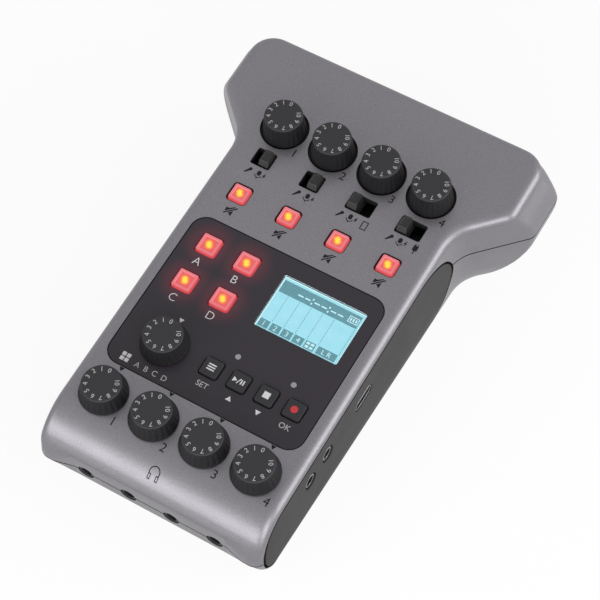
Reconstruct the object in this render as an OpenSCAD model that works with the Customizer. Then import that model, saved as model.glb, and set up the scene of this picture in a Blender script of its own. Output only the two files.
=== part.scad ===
// Four channel podcast recorder on a sloped, hand sized case with a wide input head.
// Millimetres, +Z up, +Y to the rear. The table is z = 0.
// "Top frame" below means the frame of the sloped top: u to the right, v to the rear, w out of the top.

/* [Case] */
// Width across the input head
head_width = 114.4; // [110:0.4:118]
// Depth from the front roll to the rear wall
case_depth = 155; // [152:1:160]
// Width of the hand section
body_width = 77.2; // [76:0.4:80]
// Height of the top plane above the table at mid depth
top_height = 33.9; // [33.5:0.1:36]
// Slope of the top plane in degrees
tilt = 6; // [5.5:0.25:6.5]
// Depth of the parting line below the top plane
parting = 15.9; // [15.7:0.1:16.3]
// Wall of both shells
wall = 2.4; // [2.2:0.1:2.6]
// Rounding along the top edge
edge_r = 3.4; // [3:0.2:4]
// Radius of the rolled front
roll_r = 16.2; // [15.6:0.1:16.4]
// How far each head end leans in from the parting line to the top
head_lean = 4.8; // [3:0.2:6]
// How far each head end draws in below the parting line
head_undercut = 10.5; // [9:0.5:11]
// How far the shoulders draw in below the parting line
shoulder_undercut = 2.4; // [1.5:0.1:3]
// Rounding under the head
head_round = 1.6; // [1:0.2:2.4]
// How far the sides of the hand section lean out from the top to the underside
side_draft = 1.3; // [0.8:0.1:1.6]
// Rounding under the hand section
body_round = 1.6; // [1:0.2:2.4]
// Rounding under the rear wall
rear_round = 2.5; // [1.5:0.5:3.5]
// Undercut of the front below the parting line
front_undercut = 3; // [2:0.5:4]
// Corner radius of the head at the rear of the top
rear_corner_r = 8.5; // [6:0.5:9]
// Corner radius of the head at the rear from the parting line down
rear_corner_low_r = 3; // [2.8:0.2:5]
// Corner radius between the head ends and the shoulders on the top
end_corner_r = 6; // [5:0.5:8]
// Corner radius between the head ends and the shoulders from the parting line down
end_corner_low_r = 4; // [3:0.5:5]
// Hollow radius where the shoulders meet the hand section
neck_r = 14; // [10:1:16]
// Corner radius at the front
front_corner_r = 4; // [3.6:0.2:5]
// Angle of the shoulders across the case
shoulder_angle = 45; // [42:1:48]
// A point on the shoulder in from the head end
shoulder_end = 14.8; // [13.2:0.2:16.2]
// That point in front of the rear wall
shoulder_inset = 34.2; // [33:0.2:36]

/* [Side panels] */
// Thickness of the dark side panels
panel_t = 1.4; // [1.2:0.1:1.6]
// Drop of their upper edge below the top plane
panel_drop = 3; // [2.6:0.1:3.6]
// Height of their lower edge above the table
panel_floor = 1.9; // [1.7:0.1:2.6]
// Centre of their rounded rear end in front of the shoulder
panel_end_inset = 25.3; // [24:0.1:28]
// Length of that rounded end
panel_end_l = 19; // [16:1:20]
// Gap around the panels
panel_gap = 0.12; // [0.08:0.02:0.2]
// Drop of the middle of their rounded end below the parting line
panel_belly = 2.6; // [2:0.1:3.2]
// Start of their lower edge behind the middle of the rounded end
panel_heel = 3; // [1:0.5:4]
// End of their lower edge behind the front roll
panel_toe = 10.5; // [9:0.5:12]

/* [Channels] */
// Pitch of the four channels
channel_pitch = 17.5; // [17.2:0.1:18]
// Gain knobs in front of the rear wall
gain_inset = 30.8; // [30.5:0.1:31.2]
// Phones knobs behind the front roll
phones_inset = 20.9; // [20.6:0.1:21.4]
// Input switches in front of the gain knobs, where the rows keep their own spacing
switch_row = 12.9; // [12.4:0.1:13.4]
// Mute buttons in front of the input switches
mute_row = 14.6; // [13:0.2:16]
// Control panel in front of the mute buttons
control_row = 11.7; // [11:0.1:12.6]
// Phones knobs in front of the control panel
phones_row = 10.2; // [9.8:0.1:10.6]

/* [Knobs] */
// Radius of a gain knob at its foot
gain_r = 7.1; // [6.8:0.1:7.3]
// Height of a gain knob above the top
gain_h = 7.6; // [7:0.1:8.5]
// Radius of the shallow well around a gain knob
well_r = 7.6; // [7.5:0.1:8]
// Depth of that well
well_depth = 1; // [0.8:0.1:1.2]
// Radius of a phones knob at its foot
phones_r = 7.7; // [7.2:0.1:8]
// Height of a phones knob above the top
phones_h = 6.3; // [6:0.1:7]
// Radius of the flat top of every knob
knob_top_r = 6.1; // [5.8:0.1:6.4]
// Air under a knob
knob_air = 0.4; // [0.3:0.05:0.6]
// Flutes around a knob
knob_flutes = 24; // [12:1:30]
// Depth of a flute
flute_depth = 0.3; // [0.2:0.05:0.5]
// Radius of a flute
flute_r = 0.7; // [0.5:0.1:1.2]
// Thickness of a knob's top over its shaft
knob_cover = 2.4; // [2:0.1:2.8]
// Pad knob in from the control panel's left edge
pad_knob_inset = 14.6; // [13.6:0.1:15.6]
// Pad knob in front of the control panel's rear edge
pad_knob_row = 43.9; // [43:0.1:45]
// Radius of a knob shaft
shaft_r = 3; // [2.5:0.1:3.2]
// Air around a shaft where it passes the case
shaft_air = 0.5; // [0.3:0.1:0.8]
// Radius of the shaft's pivot inside its potentiometer
pivot_r = 2; // [1.6:0.1:2.2]
// Side of a potentiometer body
pot_side = 10; // [9:0.2:10.4]
// Height of a potentiometer body
pot_h = 6.5; // [6:0.1:7]
// Floor of a potentiometer under its pivot
pot_floor = 1.2; // [1:0.1:1.6]

/* [Control panel] */
// Dark control panel in from the sides of the hand section
control_inset = 5; // [4:0.1:6]
// Length of the control panel, where the rows keep their own spacing
control_row_l = 56.3; // [55:0.1:57]
// Corner radius of the control panel
control_corner_r = 5; // [4:0.5:7]
// Thickness of the control panel
control_t = 1.2; // [1:0.1:1.4]
// Gap around the control panel
control_gap = 0.1; // [0.06:0.02:0.2]

/* [Display] */
// Width of the display window
window_w = 28.6; // [27:0.2:29]
// Length of the display window
window_l = 19.2; // [18:0.2:20]
// Centre of the window across the top
window_u = 15; // [14.6:0.1:15.2]
// Centre of the window in front of the control panel's rear edge
window_row = 15.55; // [15:0.05:16]
// Ledge of the case under the window
window_ledge = 0.6; // [0.4:0.1:1]
// Corner radius of the window and of the display module
window_corner_r = 0.6; // [0.4:0.1:1]
// Margin of the display module around the window
module_margin = 1.6; // [1:0.1:1.8]
// Thickness of the display module
module_t = 2.6; // [2:0.1:3]
// Rim of the case around the display module
module_rim = 1.2; // [1:0.1:1.4]
// Air around the display's raised face
face_air = 0.2; // [0.1:0.05:0.4]
// Corner radius of that face and of its opening
face_corner_r = 0.4; // [0.3:0.1:0.6]

/* [Buttons] */
// Side of a mute button
mute_side = 6; // [5.6:0.2:6.6]
// Side of a sound pad
pad_side = 6.8; // [6.4:0.2:7.6]
// Left column of the sound pads in from the control panel's left edge
pad_inset = 8.6; // [8.2:0.1:9]
// Pitch of the sound pads across the top
pad_pitch_u = 13.4; // [13:0.1:13.8]
// Rear row of the sound pads in front of the control panel's rear edge
pad_row = 8.6; // [8:0.1:9.2]
// Pitch of the sound pads along the top
pad_pitch_v = 14.1; // [13.6:0.1:14.4]
// Side of a key
key_side = 6; // [5.4:0.1:6.4]
// First key across the top
key_u = -2.4; // [-2.8:0.1:-2]
// Pitch of the keys
key_pitch = 9.5; // [9.3:0.1:9.7]
// Row of the keys in front of the control panel's rear edge
key_row = 44.1; // [43.4:0.1:45]
// How far a key's stem stands behind the key's middle
key_stem_v = 2.2; // [2.2:0.1:2.4]
// Height of the buttons above the top
button_h = 0.8; // [0.7:0.1:1.2]
// Height of the keys above the top
key_h = 0.8; // [0.7:0.1:1.2]
// Air around each button
button_air = 0.25; // [0.2:0.05:0.35]
// Stroke of each button
button_stroke = 0.6; // [0.4:0.1:0.7]
// Corner radius of a button
button_corner_r = 0.8; // [0.5:0.1:1.2]
// Lip that keeps a button in the case
button_lip = 0.7; // [0.5:0.1:0.8]
// Thickness of that lip
lip_t = 1; // [0.8:0.1:1.2]
// Air between that lip and the case
lip_gap = 0.15; // [0.1:0.05:0.3]
// Radius of a button's stem
stem_r = 1.5; // [1.2:0.1:1.8]
// Side of a push switch
tact_side = 4.5; // [4.2:0.1:4.8]
// Height of a push switch
tact_h = 3.5; // [3:0.1:4]
// Floor of a push switch under its plunger
tact_floor = 0.7; // [0.5:0.1:1]
// Radius of a status light
light_r = 0.9; // [0.7:0.1:1.1]
// Air around a status light
light_air = 0.1; // [0.05:0.05:0.2]
// Left status light across the top
light_u = 2.5; // [2:0.1:3]
// Pitch of the status lights
light_pitch = 19.2; // [18.8:0.1:19.6]
// Row of the status lights in front of the control panel's rear edge
light_row = 37; // [35:0.1:38]

/* [Slide switches] */
// Width of a switch cap
cap_w = 3.5; // [3.2:0.1:3.7]
// Length of a switch cap
cap_l = 5.2; // [4.6:0.1:5.4]
// Height of a switch cap above the top
cap_h = 2.2; // [1.2:0.1:2.6]
// Corner radius of a switch cap and of its slot
cap_corner_r = 0.4; // [0.3:0.1:0.6]
// Step between two places of an input switch
switch_step = 2.2; // [2:0.1:2.4]
// Air around a switch cap
cap_air = 0.25; // [0.2:0.05:0.3]
// Lip of a switch cap under the case
cap_lip = 0.8; // [0.6:0.1:1]
// Thickness of that lip
cap_lip_t = 0.9; // [0.7:0.1:1.1]
// Air around the moving piece inside a slide switch
slider_air = 0.25; // [0.2:0.05:0.3]
// Depth of that piece inside its switch
slider_depth = 1.6; // [1.2:0.1:1.8]
// Side of the stem under a switch cap
switch_stem = 1.6; // [1.4:0.1:2]
// Length of a slide switch body
switch_body_l = 11.5; // [11:0.1:12]
// Width of a slide switch body
switch_body_w = 5.6; // [5:0.1:6]
// Height of a slide switch body
switch_body_h = 5; // [4.6:0.1:5.4]
// Stroke of the power switch
power_stroke = 4; // [3:0.2:4.4]
// Side of the power switch cap
power_side = 3; // [2.6:0.1:3.4]
// How far the power switch stands out of the side
power_out = 1.2; // [0.9:0.1:1.4]

/* [Boards] */
// Depth of the main board's upper face below the top plane
board_depth = 12.8; // [12.6:0.1:13]
// Thickness of both boards
board_t = 1.6; // [1.4:0.1:1.6]
// Air between the main board and the side walls
board_side_air = 1.7; // [1.2:0.1:2.2]
// Main board behind the middle of the gain knobs
board_rear_edge = 5.5; // [5.2:0.1:5.7]
// Main board in front of the middle of the phones knobs
board_front_edge = 4.2; // [4:0.1:4.4]
// Air between the main board's front tongue and the screw posts
tongue_air = 0.7; // [0.4:0.1:1.1]
// Front edge of that tongue behind the front roll
tongue_inset = 7.5; // [7:0.1:8.5]
// Radius of the standoffs that carry the main board
standoff_r = 2.6; // [2.4:0.1:2.8]
// Side standoffs in from the edge of the main board
standoff_inset = 2.9; // [2.7:0.1:3.5]
// Radius of a board screw
board_screw_r = 0.95; // [0.8:0.05:1]
// Length of a board screw in its standoff
board_screw_l = 6; // [4:0.5:7]

/* [Sockets] */
// Outer phones sockets in from the sides of the hand section
phones_socket_inset = 16.1; // [15.5:0.1:17]
// Radius of a 3.5 mm socket's bore
jack_r = 1.8; // [1.75:0.05:1.85]
// Length of that bore
jack_depth = 13; // [12:0.5:13]
// Radius of a socket's nose
jack_nose_r = 2.3; // [2.2:0.1:3]
// Closed end of a socket behind its bore
jack_back = 0.8; // [0.6:0.1:1]
// How far the nose of a phones socket reaches inside the wall
front_nose = 1; // [0.6:0.1:1.4]
// How far the nose of a side socket reaches inside the wall
side_nose = 0.6; // [0.4:0.1:0.8]
// How far the round sockets stand back from the face around them
socket_back = 0.3; // [0.2:0.05:0.4]
// Width of a socket's body
jack_w = 6.2; // [6:0.1:6.3]
// Height of a socket's body
jack_h = 4.6; // [4.4:0.1:4.7]
// Air around a socket's nose
jack_air = 0.15; // [0.1:0.05:0.3]
// Air between the first side socket and the keys' push switches
side_jack_air = 0.25; // [0.2:0.05:0.6]
// Air between the second side socket and the phones potentiometers
side_jack_air2 = 0.9; // [0.5:0.1:1.4]
// Depth of the flat in the front that the phones sockets stand in
scoop_depth = 1.6; // [1.2:0.1:1.8]
// Width of that flat
scoop_w = 53; // [50:0.5:56]
// Length of its sloped ends
scoop_ramp = 5.5; // [3:0.5:6]
// Height of that flat above the parting line
scoop_rise = 7; // [6.8:0.1:8]
// USB socket behind the side standoffs
usb_row = 8; // [7.6:0.1:9]
// Width of the USB socket
usb_w = 8.9; // [8.8:0.1:9]
// Height of the USB socket
usb_h = 3.2; // [3.1:0.05:3.3]
// Depth of the USB socket
usb_depth = 7.4; // [7:0.1:7.6]
// Wall of the USB socket
usb_wall = 0.3; // [0.25:0.05:0.4]
// Air around the USB socket
usb_air = 0.3; // [0.2:0.05:0.4]
// Closed end of the USB socket
usb_back = 1.2; // [1:0.1:1.4]
// Width of the tongue in the USB socket
usb_tongue_w = 6.7; // [6.5:0.1:6.8]
// Thickness of that tongue
usb_tongue_t = 0.7; // [0.6:0.05:0.75]
// How far that tongue stands back from the socket's mouth
usb_tongue_back = 1; // [0.6:0.1:1.2]
// Memory card socket behind the phones sockets
card_gap = 1; // [0.6:0.1:2]
// Width of a memory card
card_w = 24; // [24:0.1:24.2]
// Thickness of a memory card
card_t = 2.1; // [2.1:0.05:2.15]
// Length of a memory card inside the socket
card_l = 26; // [24:0.5:27]
// Wall of the card socket
card_wall = 0.35; // [0.3:0.05:0.4]
// Rail of the card socket at each edge of the card
card_rail = 1; // [0.8:0.1:1.2]
// Air around a memory card
card_air = 0.12; // [0.1:0.01:0.15]
// Outer microphone sockets in from the head ends
xlr_end = 6.8; // [6.4:0.1:7.2]
// Height of the microphone sockets above the table
xlr_z = 21; // [20:0.2:22]
// Radius of a microphone socket's nose
xlr_nose_r = 10.3; // [10:0.1:10.6]
// Radius of the gap's outer wall in a microphone socket
xlr_gap_r = 9.7; // [9.6:0.05:9.8]
// Radius of the insert in a microphone socket
xlr_insert_r = 7.3; // [7:0.1:7.4]
// Depth of the gap in a microphone socket
xlr_gap_depth = 15; // [14:0.5:15.5]
// How far the insert stands back from the socket's mouth
insert_back = 1.2; // [0.8:0.1:2]
// How far a contact stands back from the insert
contact_back = 1; // [0.6:0.1:1.4]
// Length of a microphone socket behind the rear wall
xlr_l = 17.6; // [17:0.1:17.8]
// Shoulder of a microphone socket behind the rear wall
xlr_shoulder = 0.8; // [0.6:0.1:0.9]
// Radius of the circle that the contacts stand on
xlr_contact_at = 4.6; // [4.4:0.1:4.8]
// Outer radius of a contact
xlr_contact_r = 1.6; // [1.5:0.05:1.7]
// Bore radius of a contact
xlr_contact_bore = 1.2; // [1.15:0.05:1.25]

/* [Power] */
// Diameter of a cell
cell_d = 14.5; // [14.3:0.1:14.5]
// Length of a cell with its button
cell_l = 50.5; // [50:0.1:50.5]
// Centre of the battery bay
bay_y = 8; // [7:0.2:9]
// Room around the cells
cell_room = 0.4; // [0.3:0.05:0.5]
// Room for the contacts at each end of the cells
contact_room = 2.2; // [2:0.1:2.6]
// Wall of the battery bay
bay_wall = 1.4; // [1.2:0.1:1.6]
// Thickness of a contact plate
contact_t = 0.4; // [0.3:0.05:0.5]
// Side of a contact plate
contact_side = 8; // [7:0.2:10]
// Radius of the stud that meets a cell's button
button_stud_r = 2; // [1.6:0.1:2.4]
// Radius of the stud that meets a cell's flat end
flat_stud_r = 3; // [2.4:0.1:4]
// Play between a stud and its cell
stud_play = 0.15; // [0.1:0.05:0.3]
// Radius of a cell's button
cell_button_r = 2.6; // [2.4:0.1:2.7]
// Height of a cell's button
cell_button_h = 1.2; // [1:0.1:1.5]
// Margin of the battery cover around the bay
cover_margin = 2; // [1.8:0.1:3]
// Thickness of the battery cover
cover_t = 1.5; // [1.4:0.05:1.6]
// Tongue of the cover in its side grooves
cover_tongue = 1.4; // [1.2:0.1:1.6]
// Travel of the battery cover
cover_travel = 10; // [8:0.5:12]
// Gap around the battery cover
cover_gap = 0.15; // [0.1:0.05:0.2]

/* [Fixings] */
// Height of the rubber feet below the case
foot_h = 1; // [0.8:0.1:1.2]
// Radius of a rubber foot
foot_r = 4; // [3.5:0.1:4.5]
// Depth of a foot's seat in the case
foot_seat = 0.7; // [0.5:0.1:0.9]
// Rear feet in from the head ends
foot_end_inset = 19; // [18:0.5:21]
// Rear feet in front of the rear wall
foot_rear_inset = 14.5; // [13.5:0.5:17]
// Front feet across the case
foot_front_x = 24; // [20:0.5:25]
// Front feet behind the front
foot_front_inset = 15.5; // [14.5:0.5:17]
// Radius of a case screw
case_screw_r = 1.2; // [1:0.1:1.3]
// Length of a case screw in the top shell
case_screw_l = 7; // [5:0.5:8]
// Radius of a case screw's head
case_head_r = 2.2; // [2:0.1:2.3]
// Height of a case screw's head
case_head_h = 1.6; // [1.4:0.1:1.8]
// Length of a case screw in the bottom shell
case_grip = 3.4; // [3:0.1:3.6]
// Air around a screw in the piece that it passes through
screw_air = 0.15; // [0.1:0.05:0.25]
// Air around a case screw's head
head_air = 0.2; // [0.1:0.05:0.3]
// Room past a screw's tip
tip_room = 0.6; // [0.3:0.1:1]
// Radius of the screw posts in the bottom shell
post_r = 3.6; // [3.4:0.1:3.8]
// How much slimmer the posts in the top shell are
post_step = 0.6; // [0.4:0.1:0.8]
// Rear screw posts out from the sides of the main board
screw_board_air = 0.4; // [0.3:0.1:0.5]
// Rear screws in front of the rear wall
screw_rear_inset = 25.6; // [25.5:0.1:26]
// Front screws in from the sides of the hand section
screw_side_inset = 7; // [6.6:0.1:7.2]
// Front screws behind the front
screw_front_inset = 10.9; // [10.5:0.1:11.1]
// Thickness of a board screw's head
board_head_h = 1.2; // [0.8:0.1:1.4]
// Radius of a board screw's head
board_head_r = 1.8; // [1.6:0.1:2]

/* [Hidden] */
$fn = 48;
fit = 0.04;
seat = 0.05;
far = 60;
over = 5;
edge_steps = 4;
rear_steps = 5;
end_steps = 4;
neck_steps = 6;
front_steps = 4;
roll_steps = 6;
round_level = 0.42;
under_levels = [0.8, 0.6, round_level, 0.27, 0.15, 0.06, 0.015, 0];
wall_level = 0.45;
lean_power = 1.5;
roll_lip = 0.4;
body_half = body_width / 2;
head_half = head_width / 2;
front_v = (-case_depth / 2 + roll_r * (1 - sin(tilt))) / cos(tilt) - roll_r;
roll_v = front_v + roll_r;
shoulder_u = head_half - shoulder_end;
shoulder_v = case_depth / 2 - shoulder_inset;
panel_end_v = shoulder_v - panel_end_inset;
gain_v = rear_v(0) - gain_inset;
phones_v = front_v + phones_inset;
row_scale = (gain_v - phones_v) / (switch_row + mute_row + control_row + control_row_l + phones_row);
switch_v = gain_v - switch_row * row_scale;
mute_v = switch_v - mute_row * row_scale;
control_rear = mute_v - control_row * row_scale;
control_front = phones_v + phones_row * row_scale;
control_w = body_width - 2 * control_inset;
pad_u = pad_inset - control_w / 2;
pad_knob_u = pad_knob_inset - control_w / 2;
window_v = control_rear - window_row * row_scale;
pad_v = control_rear - pad_row * row_scale;
light_v = control_rear - light_row * row_scale;
pad_knob_v = control_rear - pad_knob_row * row_scale;
key_v = control_rear - key_row * row_scale;
power_v = (mute_v + pad_v) / 2;
board_w0 = -board_depth - board_t;
jack_w_side = -board_depth + jack_h / 2;
pot_top = -board_depth + pot_h;
control_v = (control_rear + control_front) / 2;
control_l = control_rear - control_front;
module_w = window_w + 2 * module_margin;
module_l = window_l + 2 * module_margin;
bay_half_x = cell_l / 2 + contact_room;
bay_half_y = cell_d + cell_room;
cover_x = bay_half_x + cover_margin;
cover_front = bay_y - bay_half_y - cover_margin;
cover_rear = bay_y + bay_half_y + cover_margin;
cover_top = foot_h + cover_t + cover_gap;
cell_z = cover_top + cell_room / 2 + cell_d / 2;
bay_top = cell_z + cell_d / 2 + cell_room;
side_in = body_half - wall;
board_w = 2 * (side_in - board_side_air);
screw_rear_x = board_w / 2 + post_r - post_step + screw_board_air;
screw_front_x = body_half - screw_side_inset;
screw_places = [
    [screw_rear_x, case_depth / 2 - screw_rear_inset],
    [screw_front_x, screw_front_inset - case_depth / 2]
];
board_rear = gain_v + board_rear_edge;
board_front = phones_v - board_front_edge;
tongue_w = 2 * (screw_front_x - post_r + post_step - tongue_air);
tongue_front = front_v + tongue_inset;
key_edge = key_v + key_side / 2 + button_air + button_lip;
standoff_u = board_w / 2 - standoff_inset;
standoff_v = (window_v - module_l / 2 - module_rim + key_edge) / 2;
usb_v = standoff_v + usb_row;
phones_pitch = (body_half - phones_socket_inset) / 1.5;
phones_mouth = front_v + scoop_depth + socket_back;
jack_w_front = -parting - jack_air;
jack_end = phones_mouth + jack_depth + jack_back;
card_v = jack_end + card_gap + card_w / 2 + card_rail;
side_jack_v = key_v + key_stem_v - tact_side / 2 - side_jack_air - jack_w / 2;
side_jack_v2 = phones_v + pot_side / 2 + side_jack_air2 + jack_w / 2;
xlr_pitch = (head_width - 2 * (xlr_nose_r + xlr_shoulder + xlr_end)) / 3;
panel_in = body_half - panel_t;
xlr_back = case_depth / 2 - wall - seat - xlr_l;
xlr_mouth = case_depth / 2 - socket_back;

// Case form: one rounded outline repeated on levels from the top to the underside

function channel(i) = (i - 1.5) * channel_pitch;
function rear_v(w) = (case_depth / 2 + w * sin(tilt)) / cos(tilt);
function table_w(v, h) = (h - top_height - v * sin(tilt)) / cos(tilt);
function top_w(v, skin) = v >= roll_v ? -skin
    : -roll_r + sqrt(max(pow(roll_r - skin, 2) - pow(roll_v - v, 2), 0));
function turned(p, a) = [p.x * cos(a) - p.y * sin(a), p.x * sin(a) + p.y * cos(a)];

// Arc that rounds the corner c between the unit directions a and b
function fillet(c, a, b, r, steps) =
    let (side = sign(a.x * b.y - a.y * b.x), turn = acos(a * b), start = c - a * r * tan(turn / 2))
    let (centre = start + side * r * [-a.y, a.x])
    [for (i = [0:steps]) centre + turned(start - centre, side * turn * i / steps)];

// Right half of the outline from the rear to the front
function half_outline(rear, end, slip, side, front, ra, rb, rc, rd) =
    let (d = -[cos(shoulder_angle), sin(shoulder_angle)])
    let (s = [shoulder_u, shoulder_v] + slip * [-sin(shoulder_angle), cos(shoulder_angle)])
    let (b = [end, s.y + (end - s.x) * tan(shoulder_angle)])
    let (c = [side, s.y + (side - s.x) * tan(shoulder_angle)])
    let (last = asin((roll_r - front_corner_r) / roll_r))
    concat(
        fillet([end, rear], [1, 0], [0, -1], ra, rear_steps),
        fillet(b, [0, -1], d, rb, end_steps),
        fillet(c, d, [0, -1], rc, neck_steps),
        [for (i = [0:roll_steps - 1])
            [side, roll_v + (front + rd - roll_v) * sin(last * i / roll_steps) / sin(last)]],
        fillet([side, front], [0, -1], [-1, 0], rd, front_steps));

// Side of the hand section: low is 0 under the top edge, 1 on the parting line and 2 at the underside
function side_at(low, inset) = body_half - inset + (inset == 0 ? side_draft * low / 2 : 0);
function mixed(a, b, share) = a * (1 - share) + b * share;

// Outline with every wall moved in by the same amount
function even_outline(rear, end, inset, low = 0) = half_outline(
    rear - inset, end - inset, inset, side_at(low, inset), front_v + inset,
    max(mixed(rear_corner_r, rear_corner_low_r, low) - inset, 0.5),
    max(mixed(end_corner_r, end_corner_low_r, low) - inset, 0.5), neck_r + inset,
    max(front_corner_r - inset, 0.5));

// Share of the top edge's rounding at point i: it fades out around the front corner
function edge_share(i, count) = i < count - front_steps - 1 ? 1
    : cos(90 * (i - (count - front_steps - 1)) / front_steps);

function edge_ring(step, skin) =
    let (r = max(edge_r - skin, 0.8), a = 90 * step / edge_steps, drop = r * (1 - cos(a)))
    let (p = even_outline(rear_v(-skin - drop), head_half - head_lean, skin + r * (1 - sin(a))))
    [for (i = [0:len(p) - 1]) [p[i].x, p[i].y,
        max(top_w(p[i].y, skin) - drop * edge_share(i, len(p)), roll_lip - parting)]];

function wall_ring(skin) =
    let (lean = head_lean * pow(1 - wall_level, lean_power))
    let (p = even_outline(rear_v(-parting * wall_level), head_half - lean, skin, wall_level))
    let (e = edge_ring(edge_steps, skin))
    [for (i = [0:len(p) - 1]) [p[i].x, p[i].y, mixed(e[i].z, -parting, wall_level)]];

function parting_ring(skin, drop) =
    [for (p = even_outline(rear_v(-parting), head_half, skin, 1)) [p.x, p.y, -parting - drop]];

function under_ring(level, skin, floor_h) =
    let (low = 1 - level, curve = low * low)
    let (round = 1 - sqrt(1 - pow(max(1 - level / round_level, 0), 2)))
    let (rear = rear_v(mixed(-parting, table_w(case_depth / 2, floor_h), low)))
    let (p = half_outline(
        rear - skin - rear_round * round, head_half - skin - head_undercut * curve - head_round * round,
        skin + shoulder_undercut * curve + head_round * round, side_at(1 + low, skin) - body_round * round,
        front_v + skin + front_undercut * low + body_round * round,
        max(rear_corner_low_r - skin, 0.5), max(end_corner_low_r - skin, 0.5),
        neck_r + skin + shoulder_undercut * curve / 2, max(front_corner_r - skin, 0.5)))
    [for (q = p) [q.x, q.y, mixed(-parting, table_w(q.y, floor_h), low)]];

function looped(half) = concat(half, [for (i = [len(half) - 1:-1:0]) [-half[i].x, half[i].y, half[i].z]]);

module lofted(halves) {
    n = 2 * len(halves[0]);
    last = (len(halves) - 1) * n;
    points = [for (h = halves) each looped(h)];
    sides = [for (j = [0:len(halves) - 2], i = [0:n - 1])
        let (a = j * n + i, b = j * n + (i + 1) % n) each [[a, a + n, b + n], [a, b + n, b]]];
    upper = [for (i = [0:n / 2 - 2]) [i, i + 1, n - 2 - i, n - 1 - i]];
    lower = [for (i = [0:n / 2 - 2]) [last + n - 1 - i, last + n - 2 - i, last + i + 1, last + i]];
    polyhedron(points, concat(upper, sides, lower));
}

function upper_rings(skin, drop) = concat(
    [for (i = [0:edge_steps]) edge_ring(i, skin)], [wall_ring(skin), parting_ring(skin, drop)]);
function lower_rings(skin, floor_h, drop) = concat(
    [parting_ring(skin, drop)], [for (l = under_levels) under_ring(l, skin, floor_h)]);

module upper_form(skin = 0, drop = 0) lofted(upper_rings(skin, drop));
module lower_form(skin = 0, floor_h = foot_h, rise = 0) lofted(lower_rings(skin, floor_h, -rise));
module whole_form() lofted(concat(upper_rings(0, 0), [for (l = under_levels) under_ring(l, 0, foot_h)]));

// Frames and plain shapes

module on_top(u = 0, v = 0, w = 0)
    translate([0, 0, top_height]) rotate([tilt, 0, 0]) translate([u, v, w]) children();

module both_sides() {
    children();
    mirror([1, 0, 0]) children();
}

module round_rect(x, y, r) {
    square([x - 2 * r, y], center = true);
    square([x, y - 2 * r], center = true);
    for (sx = [-1, 1], sy = [-1, 1])
        translate([sx * (x / 2 - r), sy * (y / 2 - r)]) circle(r, $fn = 24);
}

module slab(x, y, r, w0, w1) translate([0, 0, w0]) linear_extrude(w1 - w0) round_rect(x, y, r);
module box(x, y, z0, z1) translate([-x / 2, -y / 2, z0]) cube([x, y, z1 - z0]);
module rod(r, z0, z1) translate([0, 0, z0]) cylinder(r = r, h = z1 - z0);
module along_x(x0, x1) translate([x0, 0, 0]) rotate([90, 0, 90]) linear_extrude(x1 - x0) children();
module rod_x(r, x0, x1) translate([x0, 0, 0]) rotate([0, 90, 0]) cylinder(r = r, h = x1 - x0);
module rod_y(r, y0, y1) translate([0, y0, 0]) rotate([-90, 0, 0]) cylinder(r = r, h = y1 - y0);

// Places of the controls

module at_pads(i)
    on_top(pad_u + pad_pitch_u * (i % 2), pad_v - pad_pitch_v * row_scale * floor(i / 2)) children();
module at_key(i) on_top(key_u + key_pitch * i, key_v) children();
module at_lights() for (i = [0, 1]) on_top(light_u + light_pitch * i, light_v) children();
module at_pots() {
    for (i = [0:3]) on_top(channel(i), gain_v) children();
    for (i = [0:3]) on_top(channel(i), phones_v) children();
    on_top(pad_knob_u, pad_knob_v) children();
}
module at_standoffs() {
    on_top(0, phones_v) children();
    both_sides() {
        on_top(channel_pitch, gain_v) children();
        on_top(standoff_u, standoff_v) children();
    }
}
module at_case_screws() both_sides() for (p = screw_places) translate(p) children();
function screw_seat(y) = top_height + (y - parting * sin(tilt)) * tan(tilt) - parting * cos(tilt) - case_grip;
function places(i) = i < 2 ? 2 : 3;
function slot_w(i) = cap_w + switch_step * (places(i) - 1) + 2 * cap_air;
function cap_shift(i) = switch_step * (places(i) - 1) / 2 * (i < 2 ? 1 : -1);

// Outline of a side panel in the v, w plane
function panel_outline(grow) =
    let (r = roll_r - panel_drop + grow, mid = -parting - panel_belly)
    concat(
        [for (i = [0:10]) let (a = 90 - 14 * i)
            [panel_end_v + (panel_end_l + grow) * cos(a), mid + (mid + panel_drop - grow) * -sin(a)]],
        [for (v = [panel_end_v + panel_heel, front_v + panel_toe]) [v, table_w(v, panel_floor - grow)]],
        [for (i = [0:10]) let (a = 200 - 11 * i) [roll_v + r * cos(a), -roll_r + r * sin(a)]]);

// Case

module side_cuts() {
    both_sides() on_top() along_x(panel_in - seat, far) polygon(panel_outline(panel_gap));
    right_ports();
    left_ports();
}

module right_ports() {
    for (v = [side_jack_v, side_jack_v2])
        on_top(0, v, jack_w_side) rod_x(jack_nose_r + jack_air, side_in - 1, far);
    on_top(0, usb_v, -board_depth + usb_h / 2) along_x(side_in - 1, far)
        round_rect(usb_w + 2 * usb_air, usb_h + 2 * usb_air, usb_h / 2);
}

module left_ports() {
    on_top(0, card_v, board_w0 - card_wall - card_t / 2) along_x(-far, 1 - side_in)
        square([card_w + 4 * card_air, card_t + 4 * card_air], center = true);
    on_top(0, power_v, -board_depth + switch_body_h / 2) along_x(-far, 1 - side_in)
        square([power_side + power_stroke + 2 * cap_air, power_side + 2 * cap_air], center = true);
}

module end_cuts() {
    for (i = [0:3]) translate([(i - 1.5) * xlr_pitch, 0, xlr_z])
        rod_y(xlr_nose_r + jack_air, case_depth / 2 - wall - 1, case_depth / 2 + over);
    for (i = [0:3]) on_top((i - 1.5) * phones_pitch, 0, jack_w_front)
        rod_y(jack_nose_r + jack_air, front_v - over, front_v + wall + 3);
    on_top(0, front_v, -far) linear_extrude(far - parting + scoop_rise) polygon(scoop_outline());
}

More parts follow.
